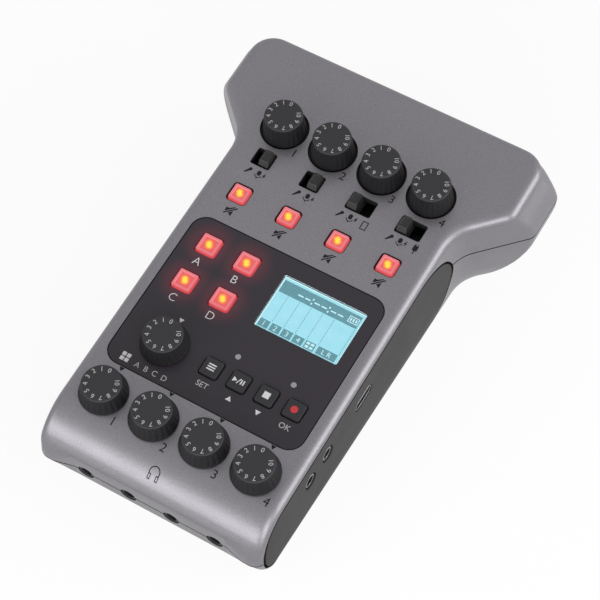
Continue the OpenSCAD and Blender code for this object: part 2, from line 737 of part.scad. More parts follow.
// Flat with sloped ends in the u, v plane, from in front of the case
function scoop_outline() =
    let (a = scoop_w / 2, b = a + scoop_ramp * (1 + over / scoop_depth))
    [[-a, scoop_depth], [-b, -over], [b, -over], [a, scoop_depth]];

module button_hole(side)
    slab(side + 2 * button_air, side + 2 * button_air, button_corner_r + button_air, -wall - over, over);

module top_cuts() {
    for (i = [0:3]) on_top(channel(i), gain_v) rod(well_r, -well_depth, over);
    at_pots() rod(shaft_r + shaft_air, -wall - over, over);
    for (i = [0:3]) on_top(channel(i), mute_v) button_hole(mute_side);
    for (i = [0:3]) on_top(channel(i), switch_v)
        slab(slot_w(i), cap_l + 2 * cap_air, cap_corner_r, -wall - over, over);
    on_top(0, control_v) slab(control_w + 2 * control_gap, control_l + 2 * control_gap,
        control_corner_r + control_gap, -control_t, over);
    on_top(window_u, window_v)
        slab(window_w - 2 * window_ledge, window_l - 2 * window_ledge, face_corner_r, -wall - over, over);
    for (i = [0:3]) at_pads(i) button_hole(pad_side);
    for (i = [0:3]) at_key(i) button_hole(key_side);
    at_lights() rod(light_r + light_air, -wall - over, over);
}

module top_shell() color([0.49, 0.48, 0.5]) difference() {
    union() {
        on_top() difference() {
            upper_form();
            upper_form(wall, 1);
        }
        at_standoffs() rod(standoff_r, -board_depth, -wall + 0.4);
        on_top(window_u, window_v) difference() {
            box(module_w + 2 * module_rim, module_l + 2 * module_rim, -wall - module_t, -wall + seat);
            box(module_w + 2 * seat, module_l + 2 * seat, -wall - far, -wall);
        }
        intersection() {
            on_top() upper_form(wall / 2);
            at_case_screws() rod(post_r - post_step, 0, far);
        }
    }
    top_cuts();
    side_cuts();
    end_cuts();
    at_standoffs() rod(board_screw_r + fit, -board_depth - over, -board_depth + board_screw_l + tip_room);
    both_sides() for (p = screw_places)
        translate(p) rod(case_screw_r + fit, 0, screw_seat(p.y) + case_grip + case_screw_l + tip_room);
}

module bottom_shell() color([0.46, 0.45, 0.47]) difference() {
    union() {
        on_top() difference() {
            lower_form();
            lower_form(wall, foot_h + wall, 1);
        }
        intersection() {
            on_top() lower_form(wall / 2, foot_h + wall / 2);
            at_case_screws() rod(post_r, foot_h, far);
        }
        translate([0, bay_y, 0])
            box(2 * (bay_half_x + bay_wall), 2 * (bay_half_y + bay_wall), foot_h + wall - 0.4, bay_top);
    }
    translate([0, bay_y, 0]) box(2 * bay_half_x, 2 * bay_half_y, 0, far);
    translate([0, (cover_front + cover_rear + cover_travel) / 2, 0]) {
        box(2 * (cover_x + cover_gap), cover_rear - cover_front + cover_travel + 2 * cover_gap, 0, cover_top);
        box(2 * (cover_x + cover_tongue + cover_gap), cover_rear - cover_front + cover_travel + 2 * cover_gap,
            foot_h + cover_t / 2 - cover_gap, cover_top);
    }
    side_cuts();
    end_cuts();
    both_sides() for (p = screw_places) translate(p) {
        rod(case_screw_r + screw_air, 0, far);
        rod(case_head_r + head_air, 0, screw_seat(p.y));
    }
    at_feet() rod(foot_r + seat, 0, foot_h + foot_seat);
}

module side_panel() on_top() intersection() {
    whole_form();
    along_x(panel_in, far) polygon(panel_outline(0));
}

module right_side_panel() color([0.2, 0.2, 0.21]) difference() {
    side_panel();
    right_ports();
}

module left_side_panel() color([0.2, 0.2, 0.21]) difference() {
    mirror([1, 0, 0]) side_panel();
    left_ports();
}

module control_panel() color([0.16, 0.15, 0.17]) difference() {
    on_top(0, control_v) slab(control_w, control_l, control_corner_r, -control_t + fit / 2, 0);
    on_top(window_u, window_v) slab(window_w + 2 * seat, window_l + 2 * seat, window_corner_r, -over, over);
    on_top(pad_knob_u, pad_knob_v) rod(shaft_r + shaft_air, -over, over);
    for (i = [0:3]) at_pads(i) button_hole(pad_side);
    for (i = [0:3]) at_key(i) button_hole(key_side);
    at_lights() rod(light_r + light_air, -over, over);
}

// Display

module display_window() color([0.6, 0.8, 0.85])
    on_top(window_u, window_v) slab(window_w, window_l, window_corner_r, -control_t + fit / 2, 0);

module display_module() color([0.55, 0.75, 0.8]) on_top(window_u, window_v) {
    slab(module_w, module_l, window_corner_r, -wall - module_t - seat, -wall - seat);
    slab(window_w - 2 * (window_ledge + face_air), window_l - 2 * (window_ledge + face_air), face_corner_r,
        -wall - module_t, -control_t - seat);
}

// Knobs with their shafts and potentiometers

module fluted_knob(foot_radius, foot_w, top) difference() {
    translate([0, 0, foot_w]) cylinder(r1 = foot_radius, r2 = knob_top_r, h = top - foot_w);
    for (i = [0:knob_flutes - 1]) rotate([0, 0, 360 * (i + 0.5) / knob_flutes])
        translate([foot_radius + flute_r - flute_depth, 0, foot_w])
            rotate([0, -atan((foot_radius - knob_top_r) / (top - foot_w)), 0])
                rod(flute_r, -over, top - foot_w - flute_r);
    rod(shaft_r + fit / 2, foot_w - over, top - knob_cover);
}

module knob_shaft(top) {
    rod(pivot_r, -board_depth + pot_floor + knob_air, pot_top + knob_air);
    rod(shaft_r, pot_top + knob_air - seat, top - knob_cover - seat);
}

module gain_knob(i) color([0.17, 0.17, 0.18]) on_top(channel(i), gain_v)
    fluted_knob(gain_r, knob_air - well_depth, gain_h);
module gain_knob_1() gain_knob(0);
module gain_knob_2() gain_knob(1);
module gain_knob_3() gain_knob(2);
module gain_knob_4() gain_knob(3);

module phones_knob(i) color([0.17, 0.17, 0.18]) on_top(channel(i), phones_v)
    fluted_knob(phones_r, knob_air, phones_h);
module phones_knob_1() phones_knob(0);
module phones_knob_2() phones_knob(1);
module phones_knob_3() phones_knob(2);
module phones_knob_4() phones_knob(3);

module pad_knob() color([0.17, 0.17, 0.18]) on_top(pad_knob_u, pad_knob_v)
    fluted_knob(phones_r, knob_air, phones_h);

module gain_shaft(i) color("silver") on_top(channel(i), gain_v) knob_shaft(gain_h);
module gain_shaft_1() gain_shaft(0);
module gain_shaft_2() gain_shaft(1);
module gain_shaft_3() gain_shaft(2);
module gain_shaft_4() gain_shaft(3);

module phones_shaft(i) color("silver") on_top(channel(i), phones_v) knob_shaft(phones_h);
module phones_shaft_1() phones_shaft(0);
module phones_shaft_2() phones_shaft(1);
module phones_shaft_3() phones_shaft(2);
module phones_shaft_4() phones_shaft(3);

module pad_shaft() color("silver") on_top(pad_knob_u, pad_knob_v) knob_shaft(phones_h);

module pot_bodies() color([0.35, 0.45, 0.35]) at_pots() difference() {
    box(pot_side, pot_side, -board_depth, pot_top);
    rod(pivot_r + fit, -board_depth + pot_floor, 0);
}

// Push buttons and their switches

module push_button(side, top, stem_v = 0) {
    lip_side = side + 2 * (button_lip + button_air);
    stem_end = -board_depth + tact_floor + button_stroke + button_air;
    slab(side, side, button_corner_r, -wall - lip_t, top);
    slab(lip_side, lip_side, button_corner_r, -wall - lip_gap - lip_t, -wall - lip_gap);
    translate([0, stem_v, 0]) rod(stem_r, stem_end, -wall - lip_t);
}

module mute_button(i) color([0.9, 0.3, 0.3]) on_top(channel(i), mute_v) push_button(mute_side, button_h);
module mute_button_1() mute_button(0);
module mute_button_2() mute_button(1);
module mute_button_3() mute_button(2);
module mute_button_4() mute_button(3);

module pad_button(i) color([0.9, 0.3, 0.3]) at_pads(i) push_button(pad_side, button_h);
module pad_button_a() pad_button(0);
module pad_button_b() pad_button(1);
module pad_button_c() pad_button(2);
module pad_button_d() pad_button(3);

module key(i) color([0.13, 0.13, 0.14]) at_key(i) push_button(key_side, key_h, key_stem_v);
module menu_key() key(0);
module play_key() key(1);
module stop_key() key(2);
module record_key() key(3);

module tact_switch() difference() {
    box(tact_side, tact_side, -board_depth, -board_depth + tact_h);
    rod(stem_r + fit, -board_depth + tact_floor, 0);
}

module tact_switches() color([0.1, 0.1, 0.1]) {
    for (i = [0:3]) on_top(channel(i), mute_v) tact_switch();
    for (i = [0:3]) at_pads(i) tact_switch();
    for (i = [0:3]) at_key(i) translate([0, key_stem_v, 0]) tact_switch();
}

module status_lights() color([0.5, 0.5, 0.5]) at_lights() rod(light_r, -board_depth, 0);

// Slide switches

module input_switch(i) color([0.1, 0.1, 0.11]) on_top(channel(i) + cap_shift(i), switch_v) {
    slab(cap_w, cap_l, cap_corner_r, -wall - cap_lip_t, cap_h);
    box(cap_w + cap_lip, cap_l + 2 * cap_lip, -wall - cap_air - cap_lip_t, -wall - cap_air);
    box(switch_stem, switch_stem, -board_depth + switch_body_h - slider_depth, -wall - cap_lip_t);
}
module input_switch_1() input_switch(0);
module input_switch_2() input_switch(1);
module input_switch_3() input_switch(2);
module input_switch_4() input_switch(3);

module power_switch() color([0.1, 0.1, 0.11])
    on_top(0, power_v - power_stroke / 2, -board_depth + switch_body_h / 2) along_x(
        -body_half - power_out, slider_depth - board_w / 2) square(power_side, center = true);

module slide_switch_bodies() color([0.55, 0.56, 0.58]) {
    for (i = [0:3]) on_top(channel(i), switch_v) difference() {
        box(switch_body_l, switch_body_w, -board_depth, -board_depth + switch_body_h);
        box(switch_stem + switch_step * (places(i) - 1) + 2 * slider_air, switch_stem + 2 * slider_air,
            -board_depth + switch_body_h - slider_depth - slider_air, 0);
    }
    on_top(switch_body_w / 2 - board_w / 2, power_v) difference() {
        box(switch_body_w, switch_body_l, -board_depth, -board_depth + switch_body_h);
        translate([-switch_body_w / 2, 0, switch_body_h / 2 - board_depth])
            along_x(-over, slider_depth + slider_air)
                square([power_side + power_stroke, power_side] + 2 * slider_air * [1, 1], center = true);
    }
}

// Boards

module main_board() color([0.1, 0.35, 0.2]) difference() {
    on_top() {
        translate([-board_w / 2, board_front, board_w0]) cube([board_w, board_rear - board_front, board_t]);
        translate([-tongue_w / 2, tongue_front, board_w0])
            cube([tongue_w, board_front - tongue_front + 1, board_t]);
    }
    at_standoffs() rod(board_screw_r + screw_air, -far, 0);
    for (i = [0:3]) on_top((i - 1.5) * phones_pitch, jack_end - jack_depth)
        box(jack_w + 2 * jack_air, 2 * (jack_depth + jack_air), -far, 0);
}

module input_board() color([0.1, 0.35, 0.2]) translate([0, xlr_back - seat - board_t / 2, xlr_z])
    box(3 * xlr_pitch + 2 * (xlr_contact_at + xlr_contact_r), board_t, -xlr_nose_r, xlr_nose_r);

// Sockets

module xlr_socket() difference() {
    union() {
        rod_y(xlr_nose_r + xlr_shoulder, xlr_back, xlr_back + xlr_l);
        rod_y(xlr_nose_r, xlr_back, xlr_mouth);
    }
    difference() {
        rod_y(xlr_gap_r, xlr_mouth - xlr_gap_depth, xlr_mouth + over);
        rod_y(xlr_insert_r, xlr_back, xlr_mouth - insert_back);
    }
    at_contacts() rod_y(xlr_contact_r + fit, xlr_back - over, xlr_mouth + over);
}

module at_contacts() for (a = [-60, 90, 240])
    translate([xlr_contact_at * cos(a), 0, xlr_contact_at * sin(a)]) children();
module at_xlr() for (i = [0:3]) translate([(i - 1.5) * xlr_pitch, 0, xlr_z]) children();

module xlr_sockets() color([0.12, 0.12, 0.13]) at_xlr() xlr_socket();

module xlr_contacts() color("goldenrod") at_xlr() at_contacts() difference() {
    rod_y(xlr_contact_r, xlr_back, xlr_mouth - insert_back - contact_back);
    rod_y(xlr_contact_bore, xlr_mouth - xlr_gap_depth, xlr_mouth + over);
}

// A 3.5 mm socket whose nose ends at x = 0 and whose bore runs along -X
module jack(nose) difference() {
    union() {
        translate([-jack_depth - jack_back, -jack_w / 2, -jack_h / 2])
            cube([jack_depth + jack_back - nose, jack_w, jack_h]);
        rod_x(jack_nose_r, -nose - jack_air, 0);
    }
    rod_x(jack_r, -jack_depth, over);
}

module phones_jacks() color([0.12, 0.12, 0.13]) for (i = [0:3])
    on_top((i - 1.5) * phones_pitch, phones_mouth, jack_w_front)
        rotate([0, 0, -90]) jack(wall + front_nose);

module side_jacks() color([0.12, 0.12, 0.13]) for (v = [side_jack_v, side_jack_v2])
    on_top(body_half - socket_back, v, jack_w_side) jack(wall + side_nose);

module usb_outline(inset) round_rect(usb_w - 2 * inset, usb_h - 2 * inset, usb_h / 2 - inset - fit);

module usb_socket() color("silver")
    on_top(body_half - panel_t, usb_v, -board_depth + usb_h / 2) difference() {
        along_x(-usb_depth, 0) usb_outline(0);
        difference() {
            along_x(-usb_depth + usb_back, over) usb_outline(usb_wall);
            along_x(-usb_depth, -usb_tongue_back) square([usb_tongue_w, usb_tongue_t], center = true);
        }
    }

module card_socket() color("silver")
    on_top(seat - side_in, card_v, board_w0 - card_wall - card_t / 2) difference() {
        along_x(0, card_l + card_wall)
            square([card_w + 2 * card_rail, card_t + 2 * card_wall], center = true);
        along_x(-over, card_l) square([card_w + 2 * card_air, card_t + card_air], center = true);
    }

// Power

module battery_cover() color([0.46, 0.45, 0.47]) translate([0, (cover_front + cover_rear) / 2, 0]) {
    box(2 * cover_x, cover_rear - cover_front, foot_h, foot_h + cover_t);
    box(2 * (cover_x + cover_tongue), cover_rear - cover_front, foot_h + cover_t / 2, foot_h + cover_t);
}

module at_cells() for (s = [0, 1])
    translate([0, bay_y + (s - 0.5) * (cell_d + cell_room), cell_z]) mirror([s, 0, 0]) children();

module cell() {
    rod_x(cell_d / 2, -cell_l / 2, cell_l / 2 - cell_button_h);
    rod_x(cell_button_r, -cell_l / 2, cell_l / 2);
}

module batteries() color([0.75, 0.6, 0.2]) at_cells() cell();

module contact_plate(x) along_x(x, x + contact_t) square(contact_side, center = true);

module contact_pair() {
    contact_plate(bay_half_x - contact_t - seat);
    rod_x(button_stud_r, cell_l / 2 + stud_play, bay_half_x - contact_t);
    contact_plate(seat - bay_half_x);
    rod_x(flat_stud_r, contact_t - bay_half_x, -cell_l / 2 - stud_play);
}

module battery_contacts() color("silver") at_cells() contact_pair();

// Fixings

module case_screws() color("silver") both_sides()
    for (p = screw_places) translate([p.x, p.y, screw_seat(p.y)]) {
        rod(case_head_r, -case_head_h, 0);
        rod(case_screw_r, -case_head_h / 2, case_grip + case_screw_l);
    }

module board_screws() color("silver") at_standoffs() {
    rod(board_head_r, board_w0 - board_head_h, board_w0);
    rod(board_screw_r, board_w0 - board_head_h / 2, -board_depth + board_screw_l);
}

module at_feet() both_sides() {
    translate([head_half - foot_end_inset, case_depth / 2 - foot_rear_inset, 0]) children();
    translate([foot_front_x, foot_front_inset - case_depth / 2, 0]) children();
}

module rubber_feet() color([0.08, 0.08, 0.08]) at_feet() rod(foot_r, 0, foot_h + foot_seat);

top_shell();
bottom_shell();
right_side_panel();
left_side_panel();
control_panel();
display_window();
display_module();
gain_knob_1();
gain_knob_2();
gain_knob_3();
gain_knob_4();
phones_knob_1();
phones_knob_2();
phones_knob_3();
phones_knob_4();
pad_knob();
gain_shaft_1();
gain_shaft_2();
gain_shaft_3();
gain_shaft_4();
phones_shaft_1();
phones_shaft_2();
phones_shaft_3();
phones_shaft_4();
pad_shaft();
pot_bodies();
mute_button_1();
mute_button_2();
mute_button_3();
mute_button_4();
pad_button_a();
pad_button_b();
pad_button_c();
pad_button_d();
menu_key();
play_key();
stop_key();
record_key();
tact_switches();
status_lights();
input_switch_1();
input_switch_2();
input_switch_3();
input_switch_4();
power_switch();
slide_switch_bodies();
main_board();
input_board();
xlr_sockets();
xlr_contacts();
phones_jacks();
side_jacks();
usb_socket();
card_socket();
battery_cover();
batteries();
battery_contacts();
case_screws();
board_screws();
rubber_feet();
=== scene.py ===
"""Looks of a four channel podcast recorder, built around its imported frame."""
import math

import bmesh
import bpy
from mathutils import Matrix, Vector


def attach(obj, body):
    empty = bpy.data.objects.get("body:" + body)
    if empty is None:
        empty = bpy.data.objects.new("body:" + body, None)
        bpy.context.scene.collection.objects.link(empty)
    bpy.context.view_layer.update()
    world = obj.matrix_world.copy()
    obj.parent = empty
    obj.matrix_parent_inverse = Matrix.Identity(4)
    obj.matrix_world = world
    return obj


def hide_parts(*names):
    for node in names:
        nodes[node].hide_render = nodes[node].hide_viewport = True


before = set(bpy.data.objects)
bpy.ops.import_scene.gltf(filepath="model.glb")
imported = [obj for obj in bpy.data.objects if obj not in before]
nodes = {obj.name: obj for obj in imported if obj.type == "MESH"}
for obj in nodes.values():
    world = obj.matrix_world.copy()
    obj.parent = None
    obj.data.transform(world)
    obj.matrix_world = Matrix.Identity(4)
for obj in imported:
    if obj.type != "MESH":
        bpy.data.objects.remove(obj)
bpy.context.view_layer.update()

# Sizes in millimetres. "Top frame" is the frame of the sloped top: u right, v rear, w out of the top.
MM = 0.001
TILT = math.radians(6)
TOP_HEIGHT = 33.9
HEAD_HALF = 57.2
BODY_HALF = 38.6
CASE_DEPTH = 155
PARTING = 15.9
WALL = 2.4
EDGE_R = 3.4
ROLL_R = 16.2
HEAD_LEAN = 4.8
LEAN_POWER = 1.5
HEAD_UNDERCUT = 10.5
SHOULDER_UNDERCUT = 2.4
HEAD_ROUND = 1.6
SIDE_DRAFT = 1.3
BODY_ROUND = 1.6
REAR_ROUND = 2.5
FRONT_UNDERCUT = 3
REAR_CORNER_R = 8.5
REAR_CORNER_LOW_R = 3
END_CORNER_R = 6
END_CORNER_LOW_R = 4
NECK_R = 14
FRONT_CORNER_R = 4
SHOULDER = (42.4, 43.3)
SHOULDER_ANGLE = math.radians(45)
UNDER_LEVEL = 0.42
FLANK_LEVELS = [0.86, 0.72, 0.58]
FOOT_H = 1
FRONT_V = (-CASE_DEPTH / 2 + ROLL_R * (1 - math.sin(TILT))) / math.cos(TILT) - ROLL_R
ROLL_V = FRONT_V + ROLL_R
ROLL_LIP = 0.4
GROOVE_W = 0.27
GROOVE_D = 0.5
CHAMFER = 0.3
ROUNDING = 0.3
PAST = 1
OVER = 5
FAR = 60

PANEL_T = 1.4
PANEL_DROP = 3
PANEL_FLOOR = 1.9
PANEL_END_V = 18
PANEL_END_L = 19
PANEL_GAP = 0.25
PANEL_INSET = 0.3
PANEL_MID = -PARTING - 2.6
PANEL_FOOT = (PANEL_END_V + 3, FRONT_V + 10.5)
PANEL_STEPS = 24
SEAT = 0.05

CHANNELS = [(i - 1.5) * 17.5 for i in range(4)]
GAIN_V = 47.13
SWITCH_V = 34.22
MUTE_V = 19.61
PHONES_V = -58.64
PAD_KNOB = (-19, -36.03)
KNOB_TOP_R = 6.1
GAIN_R = 7.1
GAIN_H = 7.6
WELL_R = 7.6
WELL_DEPTH = 1
PHONES_R = 7.7
PHONES_H = 6.3
KNOB_AIR = 0.4
KNOB_COVER = 2.4
KNOB_EDGE = 0.7
KNOB_DISH = 1.3
DIGIT_H = 1.45
DIGIT_R = 4.75
SHAFT_R = 3
SHAFT_HOLE_R = 3.5
FLUTES = 24
FLUTE_DEPTH = 0.22

CONTROL_W = 67.2
CONTROL_FRONT = -48.43
CONTROL_REAR = 7.9
CONTROL_R = 5
CONTROL_T = 1.2
CONTROL_AIR = 0.1
CONTROL_L = CONTROL_REAR - CONTROL_FRONT
CONTROL_V = (CONTROL_REAR + CONTROL_FRONT) / 2
WINDOW = (15, -7.66)
WINDOW_W = 28.6
WINDOW_L = 19.2
LEDGE = 0.6

BUTTON_AIR = 0.25
BUTTON_R = 0.8
BUTTON_H = 0.8
MUTE_SIDE = 6
PAD_SIDE = 6.8
PADS = {c: (-25 + 13.4 * (i % 2), -0.7 - 14.11 * (i // 2)) for i, c in enumerate("abcd")}
KEY_SIDE = 6
KEY_H = 0.8
KEYS = {name: (-2.4 + 9.5 * i, -36.23) for i, name in enumerate(("menu", "play", "stop", "record"))}
LIP = 0.95
LIP_GAP = 0.15
LIP_T = 1
LIGHTS = [(2.5, -29.12), (21.7, -29.12)]
LIGHT_R = 0.9
LIGHT_AIR = 0.1
STEM_R = 1.5
STEM_LOW = -10.95
KEY_STEM_V = 2.2
PRINT_T = 0.05
WORD_T = 0.04
NUMBER_H = 2.8
LETTER_H = 2.6
SMALL_H = 1.8

CAP_W = 3.5
CAP_L = 5.2
CAP_H = 2.2
CAP_AIR = 0.25
SLOT_R = 0.4
SWITCH_STEM = 1.6
SWITCH_LOW = -9.4
SWITCH_STEP = 2.2
PLACES = (2, 2, 3, 3)

SIDE_JACKS = (-39.63, -49.64)
JACK_SIDE_W = -10.5
JACK_HOLE_R = 2.45
JACK_R = 1.8
JACK_DISH = 0.5
PHONES_JACKS = [(i - 1.5) * 15 for i in range(4)]
JACK_FRONT_W = -16.05
SCOOP_DEPTH = 1.6
SCOOP_IN = 26.5
SCOOP_END = (38, -1.2)
SCOOP_TOP_W = -9
USB = (-18.17, -11.2)
PORT_CHAMFER = 0.25
USB_W = 9.5
USB_H = 3.8
USB_R = 1.8
CARD = (-49.84, -15.8)
CARD_MOUTH = (24.5, 2.6, 0.3)
POWER = (9.45, -10.3)
POWER_SLOT = (7.5, 3.5, 0.3)
XLR_X = [(i - 1.5) * 26.2 for i in range(4)]
XLR_Z = 21
XLR_HOLE_R = 10.5
XLR_CHAMFER = 0.4

# Frames
HERE = Matrix.Identity(4)
UPRIGHT = Matrix.Scale(MM, 4)
SLOPE = Matrix.Translation((0, 0, TOP_HEIGHT * MM)) @ Matrix.Rotation(TILT, 4, "X")
TOP = SLOPE @ UPRIGHT
SIDES = {1: HERE, -1: Matrix.Scale(-1, 4, (1, 0, 0))}


def offset(x, y, z=0.0):
    return Matrix.Translation((x, y, z))


def at(u, v, w=0.0):
    """Frame of a place on the top."""
    return TOP @ offset(u, v, w)


def turned(p, a):
    return Vector((p.x * math.cos(a) - p.y * math.sin(a), p.x * math.sin(a) + p.y * math.cos(a)))


# Outlines
def angles(start, end, steps):
    """Radians on the way between two angles in degrees."""
    return [math.radians(start + (end - start) * i / steps) for i in range(steps + 1)]


def fillet(corner, a, b, r, steps):
    """Arc that rounds a corner between two unit directions."""
    side = 1 if a.x * b.y - a.y * b.x > 0 else -1
    turn = math.acos(max(-1, min(1, a.dot(b))))
    start = corner - a * r * math.tan(turn / 2)
    centre = start + side * r * Vector((-a.y, a.x))
    return [centre + turned(start - centre, side * turn * i / steps) for i in range(steps + 1)]


def circle(r, steps=64):
    return [(r * math.cos(math.tau * i / steps), r * math.sin(math.tau * i / steps)) for i in range(steps)]


def round_rect(x, y, r, steps=6):
    out = []
    for i, (sx, sy) in enumerate(((1, 1), (-1, 1), (-1, -1), (1, -1))):
        for j in range(steps + 1):
            a = math.pi / 2 * (i + j / steps)
            out.append((sx * (x / 2 - r) + r * math.cos(a), sy * (y / 2 - r) + r * math.sin(a)))
    return out


def rect(x, y, cx=0, cy=0):
    return [(cx + sx * x / 2, cy + sy * y / 2) for sx, sy in ((1, 1), (-1, 1), (-1, -1), (1, -1))]


def bar(p, q, thick):
    """Straight stroke from p to q."""
    p, q = Vector(p), Vector(q)
    d = (q - p).normalized() * thick / 2
    n = Vector((-d.y, d.x))
    return [p - n, q - n, q + n, p + n]


def moved(points, x, y, angle=0.0):
    out = []
    for p in points:
        q = turned(Vector(p), angle)
        out.append((q.x + x, q.y + y))
    return out


# Meshes
def loops_to_mesh(loops, capped=True):
    """Closed solid from equal loops of 3-D points, capped at both ends or joined end to end."""
    bm = bmesh.new()
    rows = [[bm.verts.new(p) for p in loop] for loop in loops]
    n = len(rows[0])
    for a, b in zip(rows, rows[1:] if capped else rows[1:] + rows[:1]):
        for i in range(n):
            bm.faces.new((a[i], a[(i + 1) % n], b[(i + 1) % n], b[i]))
    if capped:
        bm.faces.new(rows[0][::-1])
        bm.faces.new(rows[-1])
    bmesh.ops.recalc_face_normals(bm, faces=bm.faces)
    return bm


def prism(outline, levels):
    """Solid through grown copies of an outline: outline(grow) at each (grow, height)."""
    return loops_to_mesh([[(x, y, w) for x, y in outline(g)] for g, w in levels])


def column(outline, low, high):
    """Straight prism between two heights."""
    return prism(lambda g: outline, [(0, low), (0, high)])


def plates(outlines, thick):
    """Thin printed marks: each outline becomes a plate, half above and half below the plane."""
    bm = bmesh.new()
    for outline in outlines:
        low = [bm.verts.new((x, y, -thick / 2)) for x, y in outline]
        high = [bm.verts.new((x, y, thick / 2)) for x, y in outline]
        bm.faces.new(low[::-1])
        bm.faces.new(high)
        for i in range(len(low)):
            j = (i + 1) % len(low)
            bm.faces.new((low[i], low[j], high[j], high[i]))
    bmesh.ops.recalc_face_normals(bm, faces=bm.faces)
    return bm


def joined(parts):
    """One bmesh from several, each with its own matrix."""
    out = bmesh.new()
    for bm, matrix in parts:
        bm.transform(matrix)
        if matrix.determinant() < 0:
            bmesh.ops.reverse_faces(bm, faces=bm.faces)
        mesh = bpy.data.meshes.new("part")
        bm.to_mesh(mesh)
        bm.free()
        out.from_mesh(mesh)
        bpy.data.meshes.remove(mesh)
    return out


def linked(name, data):
    obj = bpy.data.objects.new(name, data)
    bpy.context.scene.collection.objects.link(obj)
    return obj


def new_object(name, bm, matrix, materials):
    bm.transform(matrix)
    mesh = bpy.data.meshes.new(name)
    bm.to_mesh(mesh)
    bm.free()
    for m in materials:
        mesh.materials.append(m)
    return linked(name, mesh)


def final_mesh(obj):
    bpy.context.view_layer.update()
    return bpy.data.meshes.new_from_object(obj.evaluated_get(bpy.context.evaluated_depsgraph_get()))


def cut(target, cutter, operation="DIFFERENCE"):
    """Boolean that is applied at once; new faces keep the cutter's material."""
    mod = target.modifiers.new("cut", "BOOLEAN")
    mod.object = cutter
    mod.operation = operation
    mod.solver = "MANIFOLD"
    mod.material_mode = "TRANSFER"
    done = final_mesh(target)
    target.modifiers.clear()
    old = target.data
    done.name = old.name
    target.data = done
    bpy.data.meshes.remove(old)
    bpy.data.objects.remove(cutter)


def soften(obj, angle=38, bevel=0.0, weighted=True):
    """Smooth shading with crisp edges, and a small bevel where asked."""
    for p in obj.data.polygons:
        p.use_smooth = True
    obj.data.set_sharp_from_angle(angle=math.radians(angle))
    if bevel:
        mod = obj.modifiers.new("bevel", "BEVEL")
        mod.width = bevel * MM
        mod.segments = 3
        mod.limit_method = "ANGLE"
        mod.angle_limit = math.radians(angle)
        mod.harden_normals = True
        mod.use_clamp_overlap = True
    if weighted:
        mod = obj.modifiers.new("weighted", "WEIGHTED_NORMAL")
        mod.keep_sharp = True
    return obj


def settle(obj, body, slot, *replaced):
    """Ties a piece to its body and to the solids that it stands for, which it hides; the slot argument is not
    used.
    """
    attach(obj, body)
    if replaced:
        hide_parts(*replaced)


def words(text, height, weight=0.0):
    """A line of lettering as a thin mesh, centred, with capitals of the given height."""
    curve = bpy.data.curves.new("words", "FONT")
    curve.body = text
    curve.size = 1
    curve.extrude = 0.5
    curve.offset = weight
    curve.resolution_u = 6
    obj = linked("words", curve)
    mesh = final_mesh(obj)
    bpy.data.objects.remove(obj)
    bpy.data.curves.remove(curve)
    bm = bmesh.new()
    bm.from_mesh(mesh)
    bpy.data.meshes.remove(mesh)
    bmesh.ops.remove_doubles(bm, verts=bm.verts, dist=1e-5)
    xs = [v.co.x for v in bm.verts]
    ys = [v.co.y for v in bm.verts]
    k = height / (max(ys) - min(ys))
    mid = ((max(xs) + min(xs)) / 2, (max(ys) + min(ys)) / 2)
    for v in bm.verts:
        v.co = ((v.co.x - mid[0]) * k, (v.co.y - mid[1]) * k, v.co.z * WORD_T)
    return bm


# Case form: one rounded outline repeated on levels from the top to the underside
EDGE_STEPS = 8
REAR_STEPS = 8
END_STEPS = 8
NECK_STEPS = 14
FRONT_STEPS = 8
ROLL_STEPS = 20
LEAN_STEPS = (0.2, 0.4, 0.6, 0.8)
UNDER_STEPS = 8


def rear_v(w):
    return (CASE_DEPTH / 2 + w * math.sin(TILT)) / math.cos(TILT)


def table_w(v, h):
    return (h - TOP_HEIGHT - v * math.sin(TILT)) / math.cos(TILT)


def top_w(v, skin=0.0):
    if v >= ROLL_V:
        return -skin
    return -ROLL_R + math.sqrt(max((ROLL_R - skin) ** 2 - (ROLL_V - v) ** 2, 0))


def half_outline(rear, end, slip, side, front, ra, rb, rc, rd):
    """Right half of the outline from the rear to the front."""
    d = Vector((-math.cos(SHOULDER_ANGLE), -math.sin(SHOULDER_ANGLE)))
    s = Vector(SHOULDER) + slip * Vector((-math.sin(SHOULDER_ANGLE), math.cos(SHOULDER_ANGLE)))
    slope = math.tan(SHOULDER_ANGLE)
    last = math.asin((ROLL_R - FRONT_CORNER_R) / ROLL_R)
    front_way = Vector((0, -1))
    roll = []
    for i in range(ROLL_STEPS):
        share = math.sin(last * i / ROLL_STEPS) / math.sin(last)
        roll.append(Vector((side, ROLL_V + (front + rd - ROLL_V) * share)))
    return (fillet(Vector((end, rear)), Vector((1, 0)), front_way, ra, REAR_STEPS)
            + fillet(Vector((end, s.y + (end - s.x) * slope)), front_way, d, rb, END_STEPS)
            + fillet(Vector((side, s.y + (side - s.x) * slope)), d, front_way, rc, NECK_STEPS)
            + roll + fillet(Vector((side, front)), front_way, Vector((-1, 0)), rd, FRONT_STEPS))


def side_at(low, inset):
    """Side of the hand section: low is 0 under the top edge, 1 on the parting line and 2 at the underside."""
    return BODY_HALF - inset + (0 if inset >= WALL else SIDE_DRAFT * low / 2)


def mixed(a, b, share):
    return a * (1 - share) + b * share


def even_outline(rear, end, inset, low=0.0):
    """Outline with every wall moved in alike; low is 0 under the top edge and 1 on the parting line."""
    rear_r = mixed(REAR_CORNER_R, REAR_CORNER_LOW_R, low)
    end_r = mixed(END_CORNER_R, END_CORNER_LOW_R, low)
    return half_outline(
        rear - inset, end - inset, inset, side_at(low, inset), FRONT_V + inset,
        max(rear_r - inset, 0.5), max(end_r - inset, 0.5), NECK_R + inset, max(FRONT_CORNER_R - inset, 0.5))


